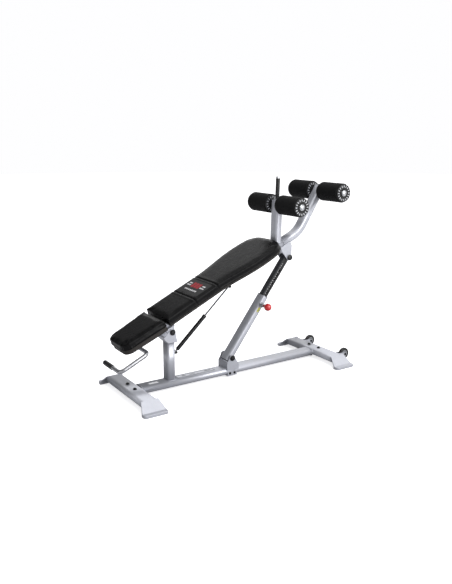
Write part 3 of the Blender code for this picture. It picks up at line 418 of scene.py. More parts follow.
# Black oxide on steel: nearly black, oiled, with a low shine.
black_oxide = finish("black_oxide_steel", ("#0B0C0D", "#141517"), 6, (0.28, 0.42), 0.4, (0.02, 1.2))
for end, side in CORNERS:
    node = f"{end}_bolt_{side}"
    low, high = map(Vector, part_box(node))
    spot = Vector(((low.x + high.x) / 2, (low.y + high.y) / 2, 0))
    top = ENDS[end].z + CROSSBAR_TUBE[1] / 2 + 0.0003
    under = ENDS[end].z - CROSSBAR_TUBE[1] / 2 - 0.0003
    bm = bmesh.new()
    hexagon(bm, top + 0.0015, high.z, HEX_R)
    dome = [(high.z + DOME_UP * math.cos(a), DOME_R * math.sin(a)) for a in (0, 0.4, 0.8, 1.2, 1.57)]
    lathe(bm, dome + [(high.z - 0.0010, DOME_R), (high.z - 0.0010, 0)], 32)
    lathe(bm, [(top + 0.0015, 0), (top + 0.0015, WASHER_R), (top, WASHER_R), (top, 0)], 40)
    lathe(bm, [(top, 0), (top, BOLT_R), (low.z + 0.0006, BOLT_R), (low.z, BOLT_R * 0.8), (low.z, 0)], 32)
    hexagon(bm, under - 0.0050, under, HEX_R)
    piece(f"{node}_finished", bm, black_oxide, node, (node,), Matrix.Translation(spot), 0.0003)


# Pivot pins. Steel pins in black oxide, each end hidden by a push-on cap of black rubber.
CAP_WALL = 0.0022
NEAR_END = Matrix.Rotation(math.pi / 2, 4, "X")
FAR_END = Matrix.Rotation(-math.pi / 2, 4, "X")
# Moulded rubber: soft black with a dull bloom that drifts at random over it.
cap_rubber = finish("moulded_black_rubber", ("#060607", "#0B0B0C"), 5, (0.36, 0.5), 0.0, (0.03, 0.9))
for node, grows in (("yoke_pin", 0.0010), ("strut_pin", 0.0010), ("top_pin", 0.0060)):
    refine(node, black_oxide, 0.0006)
    low, high = map(Vector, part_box(node))
    middle = (low + high) / 2
    r = (high.z - low.z) / 2 + CAP_WALL
    for side, turn in (("near", NEAR_END), ("far", FAR_END)):
        end = (high.y - low.y) / 2 + grows
        rim = end - 0.0098 - grows
        dome = [(end - r * 0.28 * (1 - math.cos(a)), r * 0.86 * math.sin(a)) for a in (0, 0.5, 1.0, 1.5)]
        bm = bmesh.new()
        lathe(bm, [(end, 0), *dome[1:], (end - r * 0.34, r), (rim + 0.0012, r), (rim, r - 0.001), (rim, 0)])
        piece(f"{node}_cap_{side}", bm, cap_rubber, node, (), Matrix.Translation(middle) @ turn, 0.0, 50)


# Plates on the beam. A blank white label on an alloy plate at the head end, and a long alloy wear
# strip with a coated core and a few dark marks beyond the post, both stuck on the coated tube.
# Brushed aluminium: a dull grey rim round what it carries.
plate_alloy = finish("brushed_aluminium", ("#777980", "#84868C"), 3, (0.36, 0.48), 0.7, (0.02, 0.8))
# Blank label stock: matt and nearly white.
white_plate = finish("matt_white_label", ("#D4D5D8", "#DEDFE1"), 9, (0.45, 0.55))
# Printing ink: dark grey and slightly metallic.
label_print = finish("printed_legend", ("#47494E", "#55575C"), 4, (0.4, 0.5), 0.2)
beam_top = beam_high.z
HEAD_X = ENDS["head"].x


def oblong(name, low, high, thick, radius, material, like, at):
    """A thin rounded plate on the XY plane of at, with its top edge rounded."""
    bm = bmesh.new()
    face = panel(bm, high[1] - low[1], high[0] - low[0], radius)
    bmesh.ops.rotate(bm, verts=bm.verts, matrix=Matrix.Rotation(math.pi / 2, 3, "Y"))
    grown = bmesh.ops.extrude_face_region(bm, geom=face)["geom"]
    up = [v for v in grown if isinstance(v, bmesh.types.BMVert)]
    bmesh.ops.translate(bm, verts=up, vec=(0, 0, thick))
    middle = Vector(((low[0] + high[0]) / 2, (low[1] + high[1]) / 2, 0))
    bmesh.ops.translate(bm, verts=bm.verts, vec=middle)
    return piece(name, bm, material, like, (), at, min(thick * 0.4, 0.0008))


PLATE_T, CORE_T = 0.0007, 0.0005
on_beam = Matrix.Translation((HEAD_X, 0, beam_top))
edge_spot = ((0.110, -0.026), (0.180, 0.006))
oblong("makers_plate_edge", *edge_spot, PLATE_T, 0.003, plate_alloy, "main_beam", on_beam)
oblong("wear_strip", (0.312, -0.022), (0.592, 0.020), PLATE_T, 0.004, plate_alloy, "main_beam", on_beam)
raised = on_beam @ Matrix.Translation((0, 0, PLATE_T))
oblong("makers_plate", (0.114, -0.022), (0.176, 0.002), CORE_T, 0.002, white_plate, "main_beam", raised)
oblong("wear_strip_core", (0.318, -0.017), (0.586, 0.015), CORE_T, 0.002, powder_coat, "main_beam", raised)
core_top = on_beam @ Matrix.Translation((0, 0, PLATE_T + CORE_T))
marks = ((0.352, 0.030), (0.410, 0.010), (0.424, 0.010), (0.438, 0.010), (0.520, 0.046))
for i, (x, wide) in enumerate(marks):
    spot = ((x, -0.006), (x + wide, 0.004))
    oblong(f"strip_mark_{i}", *spot, 0.0003, 0.001, label_print, "main_beam", core_top)


# Tilting frame. The rail, the bent arm that carries the upper rollers and the leaning roller
# post are oval tube, welded nose to tail, with plastic plugs pressed in their open ends.
BENCH_SLOPE = math.radians(25.2)
RAIL_N = 0.057  # the rail's centre line, square out from the pivot
RAIL_RUN = (-0.270, 0.985)
ARM_TURN = math.radians(32.3)
ARM_BEND_R = 0.20
ARM_PAST_AXLE = 0.034
ROLLER_POST_U = 0.9474
OVAL_TUBE = (0.075, 0.050, 0.017)
PIVOT = Vector(JOINT["bench_tilt"]["pos_m"])
BENCH = Matrix.Translation(PIVOT) @ Matrix.Rotation(-BENCH_SLOPE, 4, "Y")
rail_start = BENCH @ Matrix.Translation((RAIL_RUN[0], 0, RAIL_N))
tube("rail_tube", OVAL_TUBE, [("run", RAIL_RUN[1] - RAIL_RUN[0])], "rail", rail_start)
low_axle = BENCH.inverted() @ Vector(JOINT["roller_low_near_spin"]["pos_m"])
high_axle = BENCH.inverted() @ Vector(JOINT["roller_high_near_spin"]["pos_m"])
arm_start = RAIL_RUN[1] + 0.0003
rise = high_axle.z - RAIL_N
reach = ARM_BEND_R * math.tan(ARM_TURN / 2)
before = high_axle.x - rise / math.tan(ARM_TURN) - reach - arm_start
climb = rise / math.sin(ARM_TURN) - reach + ARM_PAST_AXLE
arm_at = BENCH @ Matrix.Translation((arm_start, 0, RAIL_N))
arm_moves = [("run", before), ("bend", ARM_BEND_R, ARM_TURN), ("run", climb)]
tube("arm_tube", OVAL_TUBE, arm_moves, "curved_arm", arm_at)
refine("roller_post", powder_coat, 0.0006)
weld("arm_weld", OVAL_TUBE, "rail", arm_at)
post_lean = math.atan2(low_axle.z - RAIL_N - OVAL_TUBE[1] / 2, low_axle.x - ROLLER_POST_U)
root = (OVAL_TUBE[0], OVAL_TUBE[1] / math.sin(post_lean), OVAL_TUBE[2])
root_at = Matrix.Translation((ROLLER_POST_U, 0, RAIL_N + OVAL_TUBE[1] / 2 + 0.001))
weld("roller_post_weld", root, "roller_post", BENCH @ root_at @ UPRIGHT)


def plug(name, section, like, at, deep=0.005):
    """A plastic end plug: a rounded cap that covers the tube's end, standing out along +X."""
    bm = bmesh.new()
    grown = bmesh.ops.extrude_face_region(bm, geom=panel(bm, *section))["geom"]
    out = [v for v in grown if isinstance(v, bmesh.types.BMVert)]
    bmesh.ops.translate(bm, verts=out, vec=(deep, 0, 0))
    lid = [f for f in grown if isinstance(f, bmesh.types.BMFace)]
    bmesh.ops.inset_region(bm, faces=lid, thickness=0.006, depth=-0.0012)
    return piece(name, bm, black_nylon, like, (), at, 0.0012)


# Injection-moulded nylon: black, with the fine spark-eroded grain of its mould.
black_nylon = finish("moulded_black_nylon", ("#0B0C0D", "#131416"), 7, (0.30, 0.42), 0.0, (0.03, 0.8))
HALF_TURN = Matrix.Rotation(math.pi, 4, "Y")
plug("rail_plug", OVAL_TUBE, "rail", rail_start @ HALF_TURN, 0.004)
bend_ahead, bend_up = ARM_BEND_R * math.sin(ARM_TURN), ARM_BEND_R * (1 - math.cos(ARM_TURN))
arm_bend = Matrix.Translation((before + bend_ahead, 0, bend_up))
arm_end = arm_at @ arm_bend @ Matrix.Rotation(-ARM_TURN, 4, "Y") @ Matrix.Translation((climb, 0, 0))
plug("arm_plug", OVAL_TUBE, "curved_arm", arm_end, 0.004)


# Grip bar. A chromed bar with a foot that is welded to the roller post's cap, a ribbed rubber
# sleeve, and a turned knob at its top.
BAR_RUN = 0.152
post_length = math.hypot(low_axle.x - ROLLER_POST_U, low_axle.z - RAIL_N - OVAL_TUBE[1] / 2) + 0.030
bar_foot = BENCH @ Matrix.Translation((ROLLER_POST_U, 0, RAIL_N + OVAL_TUBE[1] / 2))
bar_foot = bar_foot @ Matrix.Rotation(-post_lean, 4, "Y") @ Matrix.Translation((post_length + 0.0003, 0, 0))
ALONG = Matrix.Rotation(math.pi / 2, 4, "Y")
# Bright chrome plate: a clean mirror with the faintest drag marks.
chrome = finish("chrome_plate", ("#C9CBCE", "#D6D8DA"), 9, (0.08, 0.16), 1.0, (0.004, 1.5))
refine("grip_bar", chrome, 0.0008)


def ribbed(bm, radius, core, start, end, pitch=0.0042, deep=0.0004):
    """A rubber sleeve with a groove at each pitch and a soft rounded end."""
    count = int((end - start - 0.006) / pitch)
    profile = [(start, core), (start, radius - 0.0006), (start + 0.0008, radius)]
    for i in range(count):
        at = start + 0.003 + i * pitch
        profile += [(at, radius), (at + pitch * 0.2, radius - deep), (at + pitch * 0.4, radius)]
    profile += [(end - 0.0008, radius), (end, radius - 0.0006), (end, core)]
    lathe(bm, profile, 48, ring=True)


BAR_R, GRIP_R = 0.0113, 0.0139
bm = bmesh.new()
ribbed(bm, GRIP_R, BAR_R, 0.0053, BAR_RUN - 0.0143)
piece("grip_bar_sleeve", bm, cap_rubber, "grip_bar_rubber", ("grip_bar_rubber",), bar_foot @ ALONG, 0, 70)
plug("roller_post_cap", OVAL_TUBE, "roller_post", bar_foot @ Matrix.Translation((-0.0002, 0, 0)), 0.0022)


# Ankle rollers. Thick sleeves of closed-cell nitrile foam on plastic cores, held between
# moulded end caps whose raised ribs are coloured bright silver as a painted glint, and turning on a chromed
# axle.
ROLLER_R, FOAM_ROUND = 0.0634, 0.0095
CAP_R, CAP_T, CAP_RIBS = 0.0575, 0.0080, 16
RIB_SIZE, RIB_OUT = (0.0150, 0.0058, 0.0040), 0.0462
AXLE_HEX_R = 0.0180
# Nitrile foam: matt black, skinned, with pores about half a millimetre across.
foam = finish(
    "closed_cell_foam", ("#070708", "#0D0D0E"), 14, (0.75, 0.9), 0.0, (0.22, 1.6), Specular_IOR_Level=0.25
)
# Painted glint: the raised ribs get a bright silvery metal colour that stands in for the light they catch,
# drifting a little at random.
painted_glint_rib_colour = finish("ribs_with_painted_glint", ("#D3D5D9", "#E6E7EA"), 3, (0.22, 0.34), 0.80, (0.02, 0.8))


def roller_cap(bm, face):
    """A cap whose outer face looks along +Z and ends at that height."""
    low = face - CAP_T
    profile = [(low, 0.0140), (low, CAP_R - 0.002), (low + 0.002, CAP_R), (face - 0.002, CAP_R)]
    profile += [(face, CAP_R - 0.0025), (face, CAP_R - 0.006), (face - 0.004, CAP_R - 0.008)]
    profile += [(face - 0.004, 0.0260), (face - 0.0005, 0.0240), (face - 0.0005, 0.0140)]
    lathe(bm, profile, 96, ring=True)


def ribs(bm, face):
    for i in range(CAP_RIBS):
        new = bmesh.ops.create_cube(bm, size=1.0)["verts"]
        bmesh.ops.scale(bm, verts=new, vec=RIB_SIZE)
        bmesh.ops.translate(bm, verts=new, vec=(RIB_OUT, 0, face - 0.0021))
        spin = Matrix.Rotation(math.tau * i / CAP_RIBS, 3, "Z")
        bmesh.ops.rotate(bm, verts=new, matrix=spin)


for level in ("low", "high"):
    for side, turn in (("near", NEAR_END), ("far", FAR_END)):
        name = f"{level}_{side}"
        foam_low, foam_high = map(Vector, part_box(f"roller_foam_{name}"))
        hub_low, hub_high = map(Vector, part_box(f"roller_hub_{name}"))
        middle = (hub_low + hub_high) / 2
        place = Matrix.Translation(middle) @ turn
        half = (foam_high.y - foam_low.y) / 2
        bm = bmesh.new()
        outer = [(half, 0.0302), (half, ROLLER_R - FOAM_ROUND)]
        for i in range(1, 9):
            a = math.pi / 2 * i / 8
            outer.append((half - FOAM_ROUND * (1 - math.cos(a)), ROLLER_R - FOAM_ROUND * (1 - math.sin(a))))
        waist = [(half * t, ROLLER_R - 0.0006 * (1 - t * t)) for t in (0.75, 0.5, 0.25, 0.0)]
        upper = outer + waist
        lathe(bm, upper + [(-along, r) for along, r in reversed(upper[:-1])], 96, ring=True)
        node = f"roller_foam_{name}"
        sleeve = piece(f"foam_sleeve_{name}", bm, foam, node, (node,), place, 0, 50)
        hub_half = (hub_high.y - hub_low.y) / 2
        bm = bmesh.new()
        roller_cap(bm, hub_half)
        bmesh.ops.rotate(bm, verts=bm.verts, matrix=Matrix.Rotation(math.pi, 3, "X"))
        roller_cap(bm, hub_half)
        core = hub_half * 0.9
        lathe(bm, [(core, 0.0140), (core, 0.030), (-core, 0.030), (-core, 0.0140)], 48, ring=True)
        node = f"roller_hub_{name}"
        piece(f"roller_caps_{name}", bm, black_nylon, node, (node,), place)
        # The cap ribs, in their bright painted glint colour.
        bm = bmesh.new()
        ribs(bm, hub_half)
        bmesh.ops.rotate(bm, verts=bm.verts, matrix=Matrix.Rotation(math.pi, 3, "X"))
        ribs(bm, hub_half)
        piece(f"roller_cap_ribs_{name}", bm, painted_glint_rib_colour, node, (), place, 0.0006)
for level in ("low", "high"):
    node = f"roller_axle_{level}"
    low, high = map(Vector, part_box(node))
    half, face = (high.y - low.y) / 2, (high.y - low.y) / 2 - 0.010
    bm = bmesh.new()
    lathe(bm, [(face + 0.003, 0), (face + 0.003, 0.0125), (-face - 0.003, 0.0125), (-face - 0.003, 0)], 48)
    for _ in range(2):
        hexagon(bm, face + 0.0010, face + 0.0050, AXLE_HEX_R)
        washer = [(face + 0.001, 0.0), (face + 0.001, 0.0200), (face + 0.0002, 0.0200), (face + 0.0002, 0)]
        lathe(bm, washer, 48)
        dome = [(face + 0.0050 + 0.0049 * math.sin(a), 0.0140 * math.cos(a)) for a in (0, 0.3, 0.6, 0.9, 1.2)]
        lathe(bm, [(half, 0), *reversed(dome), (face + 0.004, 0.0140), (face + 0.004, 0)], 48)
        bmesh.ops.rotate(bm, verts=bm.verts, matrix=Matrix.Rotation(math.pi, 3, "X"))
    at = Matrix.Translation((low + high) / 2) @ NEAR_END
    piece(f"{node}_finished", bm, chrome, node, (node,), at, 0.0003)


# Pad boards. Birch plywood, stained black, on steel cross plates that are welded to the rail.
# Stained birch: a dark brown-black with drawn-out grain.
board_ply = finish("black_stained_plywood", ("#15120F", "#221C17"), 18, (0.55, 0.7), 0.0, (0.08, 2.0))
for node in ("seat_board", "back_board"):
    refine(node, board_ply, 0.0010)
for node in ("seat_plate", "back_plate_low", "back_plate_high"):
    refine(node, powder_coat, 0.0006)


# Pads. Firm foam under black upholstery vinyl, pulled down over the board's edge and stapled
# beneath. The back pad has two sewn channels across it, with a plain sewn patch between them.
PAD_INSET, PAD_EDGE, PAD_SWELL = 0.0012, 0.0085, 0.0050
VOXEL = 0.006
SEAM_DEEP, SEAM_HALF = 0.0038, 0.0042
ROLL_UP, ROLL_OUT, ROLL_HALF = 0.0011, 0.013, 0.0075  # the fullness on each side of a seam
PULL_DEEP, GATHER_DEEP, GATHER_REACH = 0.0011, 0.0010, 0.05
CLOTH_FRAMES = 20
# Embossed vinyl: black, satin, with a leather grain of rounded cells a little over 1 mm across.
vinyl = finish(
    "black_upholstery_vinyl", ("#070708", "#0A0A0B"), 45, (0.25, 0.33), 0.0, None, Specular_IOR_Level=0.11
)
grain_tree = vinyl.node_tree
grain_at = grain_tree.nodes["Texture Coordinate"].outputs["Object"]
cells = add_node(
    grain_tree,
    "ShaderNodeTexVoronoi",
    {"feature": "SMOOTH_F1"},
    {"Scale": 1000 / 1.4, "Smoothness": 0.6},
    {"Vector": grain_at},
)
hide_bump = add_node(
    grain_tree, "ShaderNodeBump", None, {"Distance": 0.00012}, {"Height": cells.outputs["Distance"]}
)
creases = add_node(
    grain_tree, "ShaderNodeTexNoise", None, {"Scale": 1000 / 30, "Detail": 3.0}, {"Vector": grain_at}
)
pulled = add_node(
    grain_tree,
    "ShaderNodeBump",
    None,
    {"Distance": 0.0012},
    {"Height": creases.outputs["Fac"], "Normal": hide_bump.outputs["Normal"]},
)
grain_tree.links.new(pulled.outputs["Normal"], grain_tree.nodes["Principled BSDF"].inputs["Normal"])


def evaluated(obj):
    return bpy.data.meshes.new_from_object(obj.evaluated_get(bpy.context.evaluated_depsgraph_get()))


def apply_to(obj):
    """Applies what modifiers the object has, and takes them off."""
    made = evaluated(obj)
    obj.modifiers.clear()
    obj.data = made


def swell(obj, cap, pinned_below):
    """Blows the pad up from inside with a cloth simulation, and lets no point move past cap."""
    mesh = obj.data
    rest = [v.co.copy() for v in mesh.vertices]
    held = obj.vertex_groups.new(name="stapled")
    held.add([v.index for v in mesh.vertices if v.co.z < pinned_below], 1.0, "REPLACE")
    cloth = obj.modifiers.new("cloth", "CLOTH")
    cloth.settings.quality = 5
    cloth.settings.mass = 0.3
    cloth.settings.use_pressure = True
    cloth.settings.uniform_pressure_force = 4
    cloth.settings.effector_weights.gravity = 0
    cloth.settings.vertex_group_mass = held.name
    cloth.point_cache.frame_start, cloth.point_cache.frame_end = 1, CLOTH_FRAMES
    for step in range(1, CLOTH_FRAMES + 1):
        bpy.context.scene.frame_set(step)
    blown = evaluated(obj)
    obj.modifiers.clear()
    obj.vertex_groups.clear()
    for vert, start, end in zip(mesh.vertices, rest, blown.vertices):
        move = end.co - start
        if move.length > 1e-7:
            vert.co = start + move.normalized() * cap * math.tanh(move.length / cap)
    bpy.data.meshes.remove(blown)
    bpy.context.scene.frame_set(1)


def upholster(name, node, seams, folds):
    """The pad of that CAD node, in the bench's own axes: u along X and n along Z."""
    bm = bmesh.new()
    bm.from_mesh(frame["nodes"][node].data)
    bmesh.ops.remove_doubles(bm, verts=bm.verts, dist=0.00002)
    bmesh.ops.dissolve_limit(bm, angle_limit=0.01, verts=bm.verts, edges=bm.edges)
    bm.transform(BENCH.inverted())
    ends = [f(v.co[i] for v in bm.verts) for i in (0, 1, 2) for f in (min, max)]
    middle = Vector(((ends[0] + ends[1]) / 2, 0, ends[4]))
    long, wide, deep = ends[1] - ends[0], ends[3] - ends[2], ends[5] - ends[4]
    shrink = [1 - 2 * PAD_INSET / long, 1 - 2 * PAD_INSET / wide, 1 - PAD_INSET / deep]
    bmesh.ops.translate(bm, verts=bm.verts, vec=-middle)
    bmesh.ops.scale(bm, verts=bm.verts, vec=shrink)
    top = deep * shrink[2]
    rim = [e for e in bm.edges if all(v.co.z > top - 0.0005 for v in e.verts)]
    bmesh.ops.bevel(bm, geom=rim, offset=PAD_EDGE, segments=4, profile=0.5, affect="EDGES", material=-1)
    bmesh.ops.translate(bm, verts=bm.verts, vec=middle)
    mesh = bpy.data.meshes.new(name)
    bm.to_mesh(mesh)
    bm.free()
    pad = stand_in_scene(bpy.data.objects.new(name, mesh))
    remesh = pad.modifiers.new("even", "REMESH")
    remesh.mode = "VOXEL"
    remesh.voxel_size = VOXEL
    apply_to(pad)
    swell(pad, PAD_SWELL, ends[4] + 0.004)
    smooth = pad.modifiers.new("skin", "SUBSURF")
    smooth.levels = smooth.render_levels = 1
    apply_to(pad)
    mesh = pad.data
    inward = [-v.normal.copy() for v in mesh.vertices]
    low_n, high_n = ends[4], ends[5]
    for vert, way in zip(mesh.vertices, inward):
        u, y, n = vert.co
        rise = (n - low_n) / (high_n - low_n)
        if rise < 0.08:
            continue
        sink = 0.0
        for seam in seams:
            sink += SEAM_DEEP * math.exp(-(((u - seam) / SEAM_HALF) ** 2)) * min(1.0, rise * 1.6)
            sink -= ROLL_UP * math.exp(-(((abs(u - seam) - ROLL_OUT) / ROLL_HALF) ** 2))
        pull = noise.noise(Vector((u * 24, y * 24, 3.7))) * PULL_DEEP * max(0.0, 1 - rise * 1.25)
        tuck = sum(math.exp(-((Vector((u, y, 0)) - spot).length / GATHER_REACH) ** 2) for spot in folds)
        gather = GATHER_DEEP * tuck * math.sin(math.atan2(y, u - middle.x) * 70) * max(0.0, 1 - rise)
        vert.co += way * (sink + pull + gather)
    mesh.transform(BENCH)
    mesh.shade_smooth()
    mesh.materials.clear()
    mesh.materials.append(vinyl)
    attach(pad, BODY_OF[node])
    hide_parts(node)
    return pad


SEAT_LOW = -0.3395
BACK_LOW = -0.0275
SEAMS = (BACK_LOW + 0.217, BACK_LOW + 0.392)
seat_folds = [Vector((SEAT_LOW + 0.02, y, 0)) for y in (-0.11, 0.11)]
back_folds = [Vector((BACK_LOW + 0.01, y, 0)) for y in (-0.14, 0.14)]
upholster("seat_cushion", "seat_pad", (), seat_folds)
back_cover = upholster("back_cushion", "back_pad", SEAMS, back_folds)


# Stitching and patch. Doubled bonded thread runs along both sides of each channel, and the patch
# between them is a stitched-down piece of the same vinyl with plain raised bars on it.
surface = back_cover.data.copy()
surface.transform(BENCH.inverted())
probe = stand_in_scene(bpy.data.objects.new("probe", surface))
bpy.context.view_layer.update()


def on_pad(u, y, above):
    """The point above the pad's top at (u, y), in the bench's own axes."""
    hit, spot, way, _ = probe.ray_cast(Vector((u, y, 0.3)), Vector((0, 0, -1)))
    return (spot + way * above, way) if hit else (None, None)


# Bonded thread: twisted polyester, a shade paler than the vinyl.
thread = finish("bonded_polyester_thread", ("#2C2C2E", "#3A3A3D"), 3, (0.5, 0.65), 0.0, (0.03, 0.6))
STITCH, STITCH_PITCH = 0.0042, 0.0060
bm = bmesh.new()
for seam in SEAMS:
    for offset in (-0.0075, 0.0075):
        for i in range(-26, 27):
            spot, way = on_pad(seam + offset, i * STITCH_PITCH, 0.0003)
            if spot is None or way.z < 0.5:
                continue
            new = bmesh.ops.create_icosphere(bm, subdivisions=1, radius=0.5)["verts"]
            bmesh.ops.scale(bm, verts=new, vec=(0.0012, STITCH, 0.0009))
            tilt = Vector((0, 0, 1)).rotation_difference(way).to_matrix()
            bmesh.ops.rotate(bm, verts=new, matrix=tilt)
            bmesh.ops.translate(bm, verts=new, vec=spot)
piece("channel_stitching", bm, thread, "back_pad", (), BENCH, 0.0, 80)


def laid(name, low, high, thick, material, cuts):
    """A thin piece laid on the pad's top, following its crown, with a rounded thickness."""
    bm = bmesh.new()
    bmesh.ops.create_grid(bm, x_segments=cuts[0], y_segments=cuts[1], size=0.5)
    middle = Vector(((low[0] + high[0]) / 2, (low[1] + high[1]) / 2, 0))
    bmesh.ops.scale(bm, verts=bm.verts, vec=(high[0] - low[0], high[1] - low[1], 1))
    bmesh.ops.translate(bm, verts=bm.verts, vec=middle)
    for vert in bm.verts:
        spot, _ = on_pad(vert.co.x, vert.co.y, 0.0002)
        if spot is not None:
            vert.co.z = spot.z
    grown = bmesh.ops.extrude_face_region(bm, geom=bm.faces[:])["geom"]
    up = [v for v in grown if isinstance(v, bmesh.types.BMVert)]
    bmesh.ops.translate(bm, verts=up, vec=(0, 0, thick))
    return piece(name, bm, material, "back_pad", (), BENCH, thick * 0.4, 40)


# Embroidery and appliqué: dull cotton thread in plain white and red.
patch_vinyl = finish("matt_black_vinyl", ("#121213", "#19191A"), 30, (0.5, 0.6), 0.0, (0.06, 1.4))
white_thread = finish("white_embroidery", ("#C9C9CC", "#DEDEE0"), 4, (0.6, 0.75), 0.0, (0.12, 0.9))
red_thread = finish("red_embroidery", ("#8E1E28", "#A92A33"), 4, (0.6, 0.75), 0.0, (0.12, 0.9))
laid("patch_ground", (0.212, -0.118), (0.342, 0.118), 0.0007, patch_vinyl, (26, 44))
for i in range(3):
    y = -0.032 + i * 0.032
    laid(f"patch_block_{i}", (0.272, y - 0.013), (0.318, y + 0.013), 0.0014, red_thread, (10, 6))
for side, y in (("near", -0.076), ("far", 0.076)):
    laid(f"patch_bar_{side}_a", (0.280, y - 0.022), (0.290, y + 0.022), 0.0013, white_thread, (4, 10))
    laid(f"patch_bar_{side}_b", (0.300, y - 0.016), (0.310, y + 0.016), 0.0013, white_thread, (4, 8))
for i in range(7):
    y = -0.060 + i * 0.020
    laid(f"patch_dash_{i}", (0.240, y - 0.0065), (0.252, y + 0.0065), 0.0012, white_thread, (4, 4))
bpy.data.objects.remove(probe)


# Board fixings. Black pan-head screws through the cross plates into the boards.
for node in ("seat_plate", "back_plate_low", "back_plate_high"):
    low, high = map(Vector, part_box(node))
    middle = BENCH.inverted() @ ((low + high) / 2)
    for side, y in (("near", -0.080), ("far", 0.080)):
        bm = bmesh.new()
        pan_head = [(0.0040, 0), (0.0038, 0.0030), (0.0028, 0.0052), (0.0012, 0.0064), (0, 0.0066)]
        lathe(bm, pan_head + [(0, 0)], 32)
        under = Matrix.Translation((middle.x, y, middle.z - 0.0021)) @ Matrix.Rotation(math.pi, 4, "X")
        piece(f"{node}_screw_{side}", bm, black_oxide, node, (), BENCH @ under, 0.0, 50)


# Carry handle. Round steel tube bent twice, polished and clear coated, welded under the rail,
# with a ribbed rubber grip on its free end.
HANDLE_R, HANDLE_BEND = 0.0125, 0.034
HANDLE_PATH = ((-0.218, 0.025), (-0.218, -0.130), (-0.421, -0.130), (-0.421, 0.090))
GRIP_FROM = -0.020
handle_n = RAIL_N - OVAL_TUBE[1] / 2 - 0.0003 - HANDLE_R
# Clear-coated steel: mid grey, with a soft broad shine.
clear_steel = finish(
    "satin_coated_steel", ("#9C9DA1", "#AAABAE"), 16, (0.22, 0.32), 0.85, None, Coat_Weight=0.4
)


def bent(corners, radius, steps=12):
    """The corners' path with each inner corner turned on that radius."""
    spots = [Vector(corners[0])]
    for before, corner, after in zip(corners, corners[1:], corners[2:]):
        corner = Vector(corner)
        back, on = (Vector(before) - corner).normalized(), (Vector(after) - corner).normalized()
        centre = corner + (back + on) * radius
        start, end = corner + back * radius - centre, corner + on * radius - centre
        for i in range(steps + 1):
            a = math.pi / 2 * i / steps
            spots.append(centre + start * math.cos(a) + end * math.sin(a))
    return spots + [Vector(corners[-1])]


curve = bpy.data.curves.new("handle_path", "CURVE")
curve.dimensions = "3D"
curve.bevel_depth = HANDLE_R
curve.bevel_resolution = 7
curve.use_fill_caps = True
spline = curve.splines.new("POLY")
route = bent(HANDLE_PATH, HANDLE_BEND)
spline.points.add(len(route) - 1)
for point, (u, y) in zip(spline.points, route):
    point.co = (u, y, handle_n, 1)
drawn = bpy.data.objects.new("handle_path", curve)
bm = bmesh.new()
bm.from_mesh(bpy.data.meshes.new_from_object(drawn))
bpy.data.objects.remove(drawn)
piece("carry_handle_tube", bm, clear_steel, "carry_handle", ("carry_handle",), BENCH)
bm = bmesh.new()
ribbed(bm, HANDLE_R + 0.0029, HANDLE_R + 0.0003, GRIP_FROM, 0.0903)
lathe(bm, [(0.0945, 0), (0.0945, 0.0125), (0.0930, 0.0148), (0.0903, 0.0154), (0.0903, 0)], 48)
grip_at = BENCH @ Matrix.Translation((HANDLE_PATH[-1][0], 0, handle_n)) @ FAR_END
piece("carry_handle_grip", bm, cap_rubber, "carry_handle_rubber", ("carry_handle_rubber",), grip_at, 0, 60)


# Strut. A square-shouldered mast slides in an oval sleeve, guided by a nylon bush at the mouth.
# The mast is dark grey, with a black scale strip and white marks beside its row of holes.
STRUT_FOOT = Vector(JOINT["strut_swing"]["pos_m"])
strut_way = Vector(JOINT["mast_slide"]["axis"])
STRUT = Matrix.Translation(STRUT_FOOT) @ Matrix.Rotation(-math.atan2(strut_way.z, strut_way.x), 4, "Y")
SLEEVE_START = -0.030
MAST_FACE = -0.025
HOLE_PITCH, PULL_ALONG = 0.0333, 0.404
MARK_T = 0.00012  # thin enough to pass through the bush
# Dark grey powder coat: the silver's darker sister, with less flake.
mast_coat = finish("dark_grey_powder_coat", ("#3A3B3E", "#444548"), 20, (0.36, 0.44), 0.4, (0.05, 3.0))
# Black film and white ink for the scale, both nearly matt.
scale_black = finish("black_scale_strip", ("#0C0C0D", "#131314"), 10, (0.35, 0.45), 0.0, (0.01, 1.0))
mark_white = finish("white_printed_marks", ("#CFCFD1", "#DDDDDF"), 3, (0.5, 0.6))
# Zinc plate: silvery grey, a little cloudy, with a soft metal shine.
zinc = finish("zinc_plated_steel", ("#9FA0A3", "#B0B1B4"), 5, (0.25, 0.38), 0.9, (0.01, 1.2))
refine("strut_sleeve", powder_coat, 0.0006)
refine("strut_barrel", zinc)
refine("strut_bush", black_nylon, 0.0008)
mast = refine("strut_mast", mast_coat, 0.0006)
mast.data.materials.append(scale_black)
for face in mast.data.polygons:
    if face.normal.y < -0.9:
        face.material_index = 1
sleeve_start = STRUT @ Matrix.Translation((SLEEVE_START, 0, 0))
plug("sleeve_plug", OVAL_TUBE, "strut_sleeve", sleeve_start @ HALF_TURN, 0.003)
on_mast = STRUT @ Matrix.Translation((0, MAST_FACE, 0)) @ Matrix.Rotation(math.pi / 2, 4, "X")
for i in range(4, 20):
    x = PULL_ALONG + i * HOLE_PITCH / 2
    spot = ((x - 0.0022, 0.0076), (x + 0.0022, 0.0117))
    oblong(f"scale_mark_{i}", *spot, MARK_T, 0.0006, mark_white, "strut_mast", on_mast)
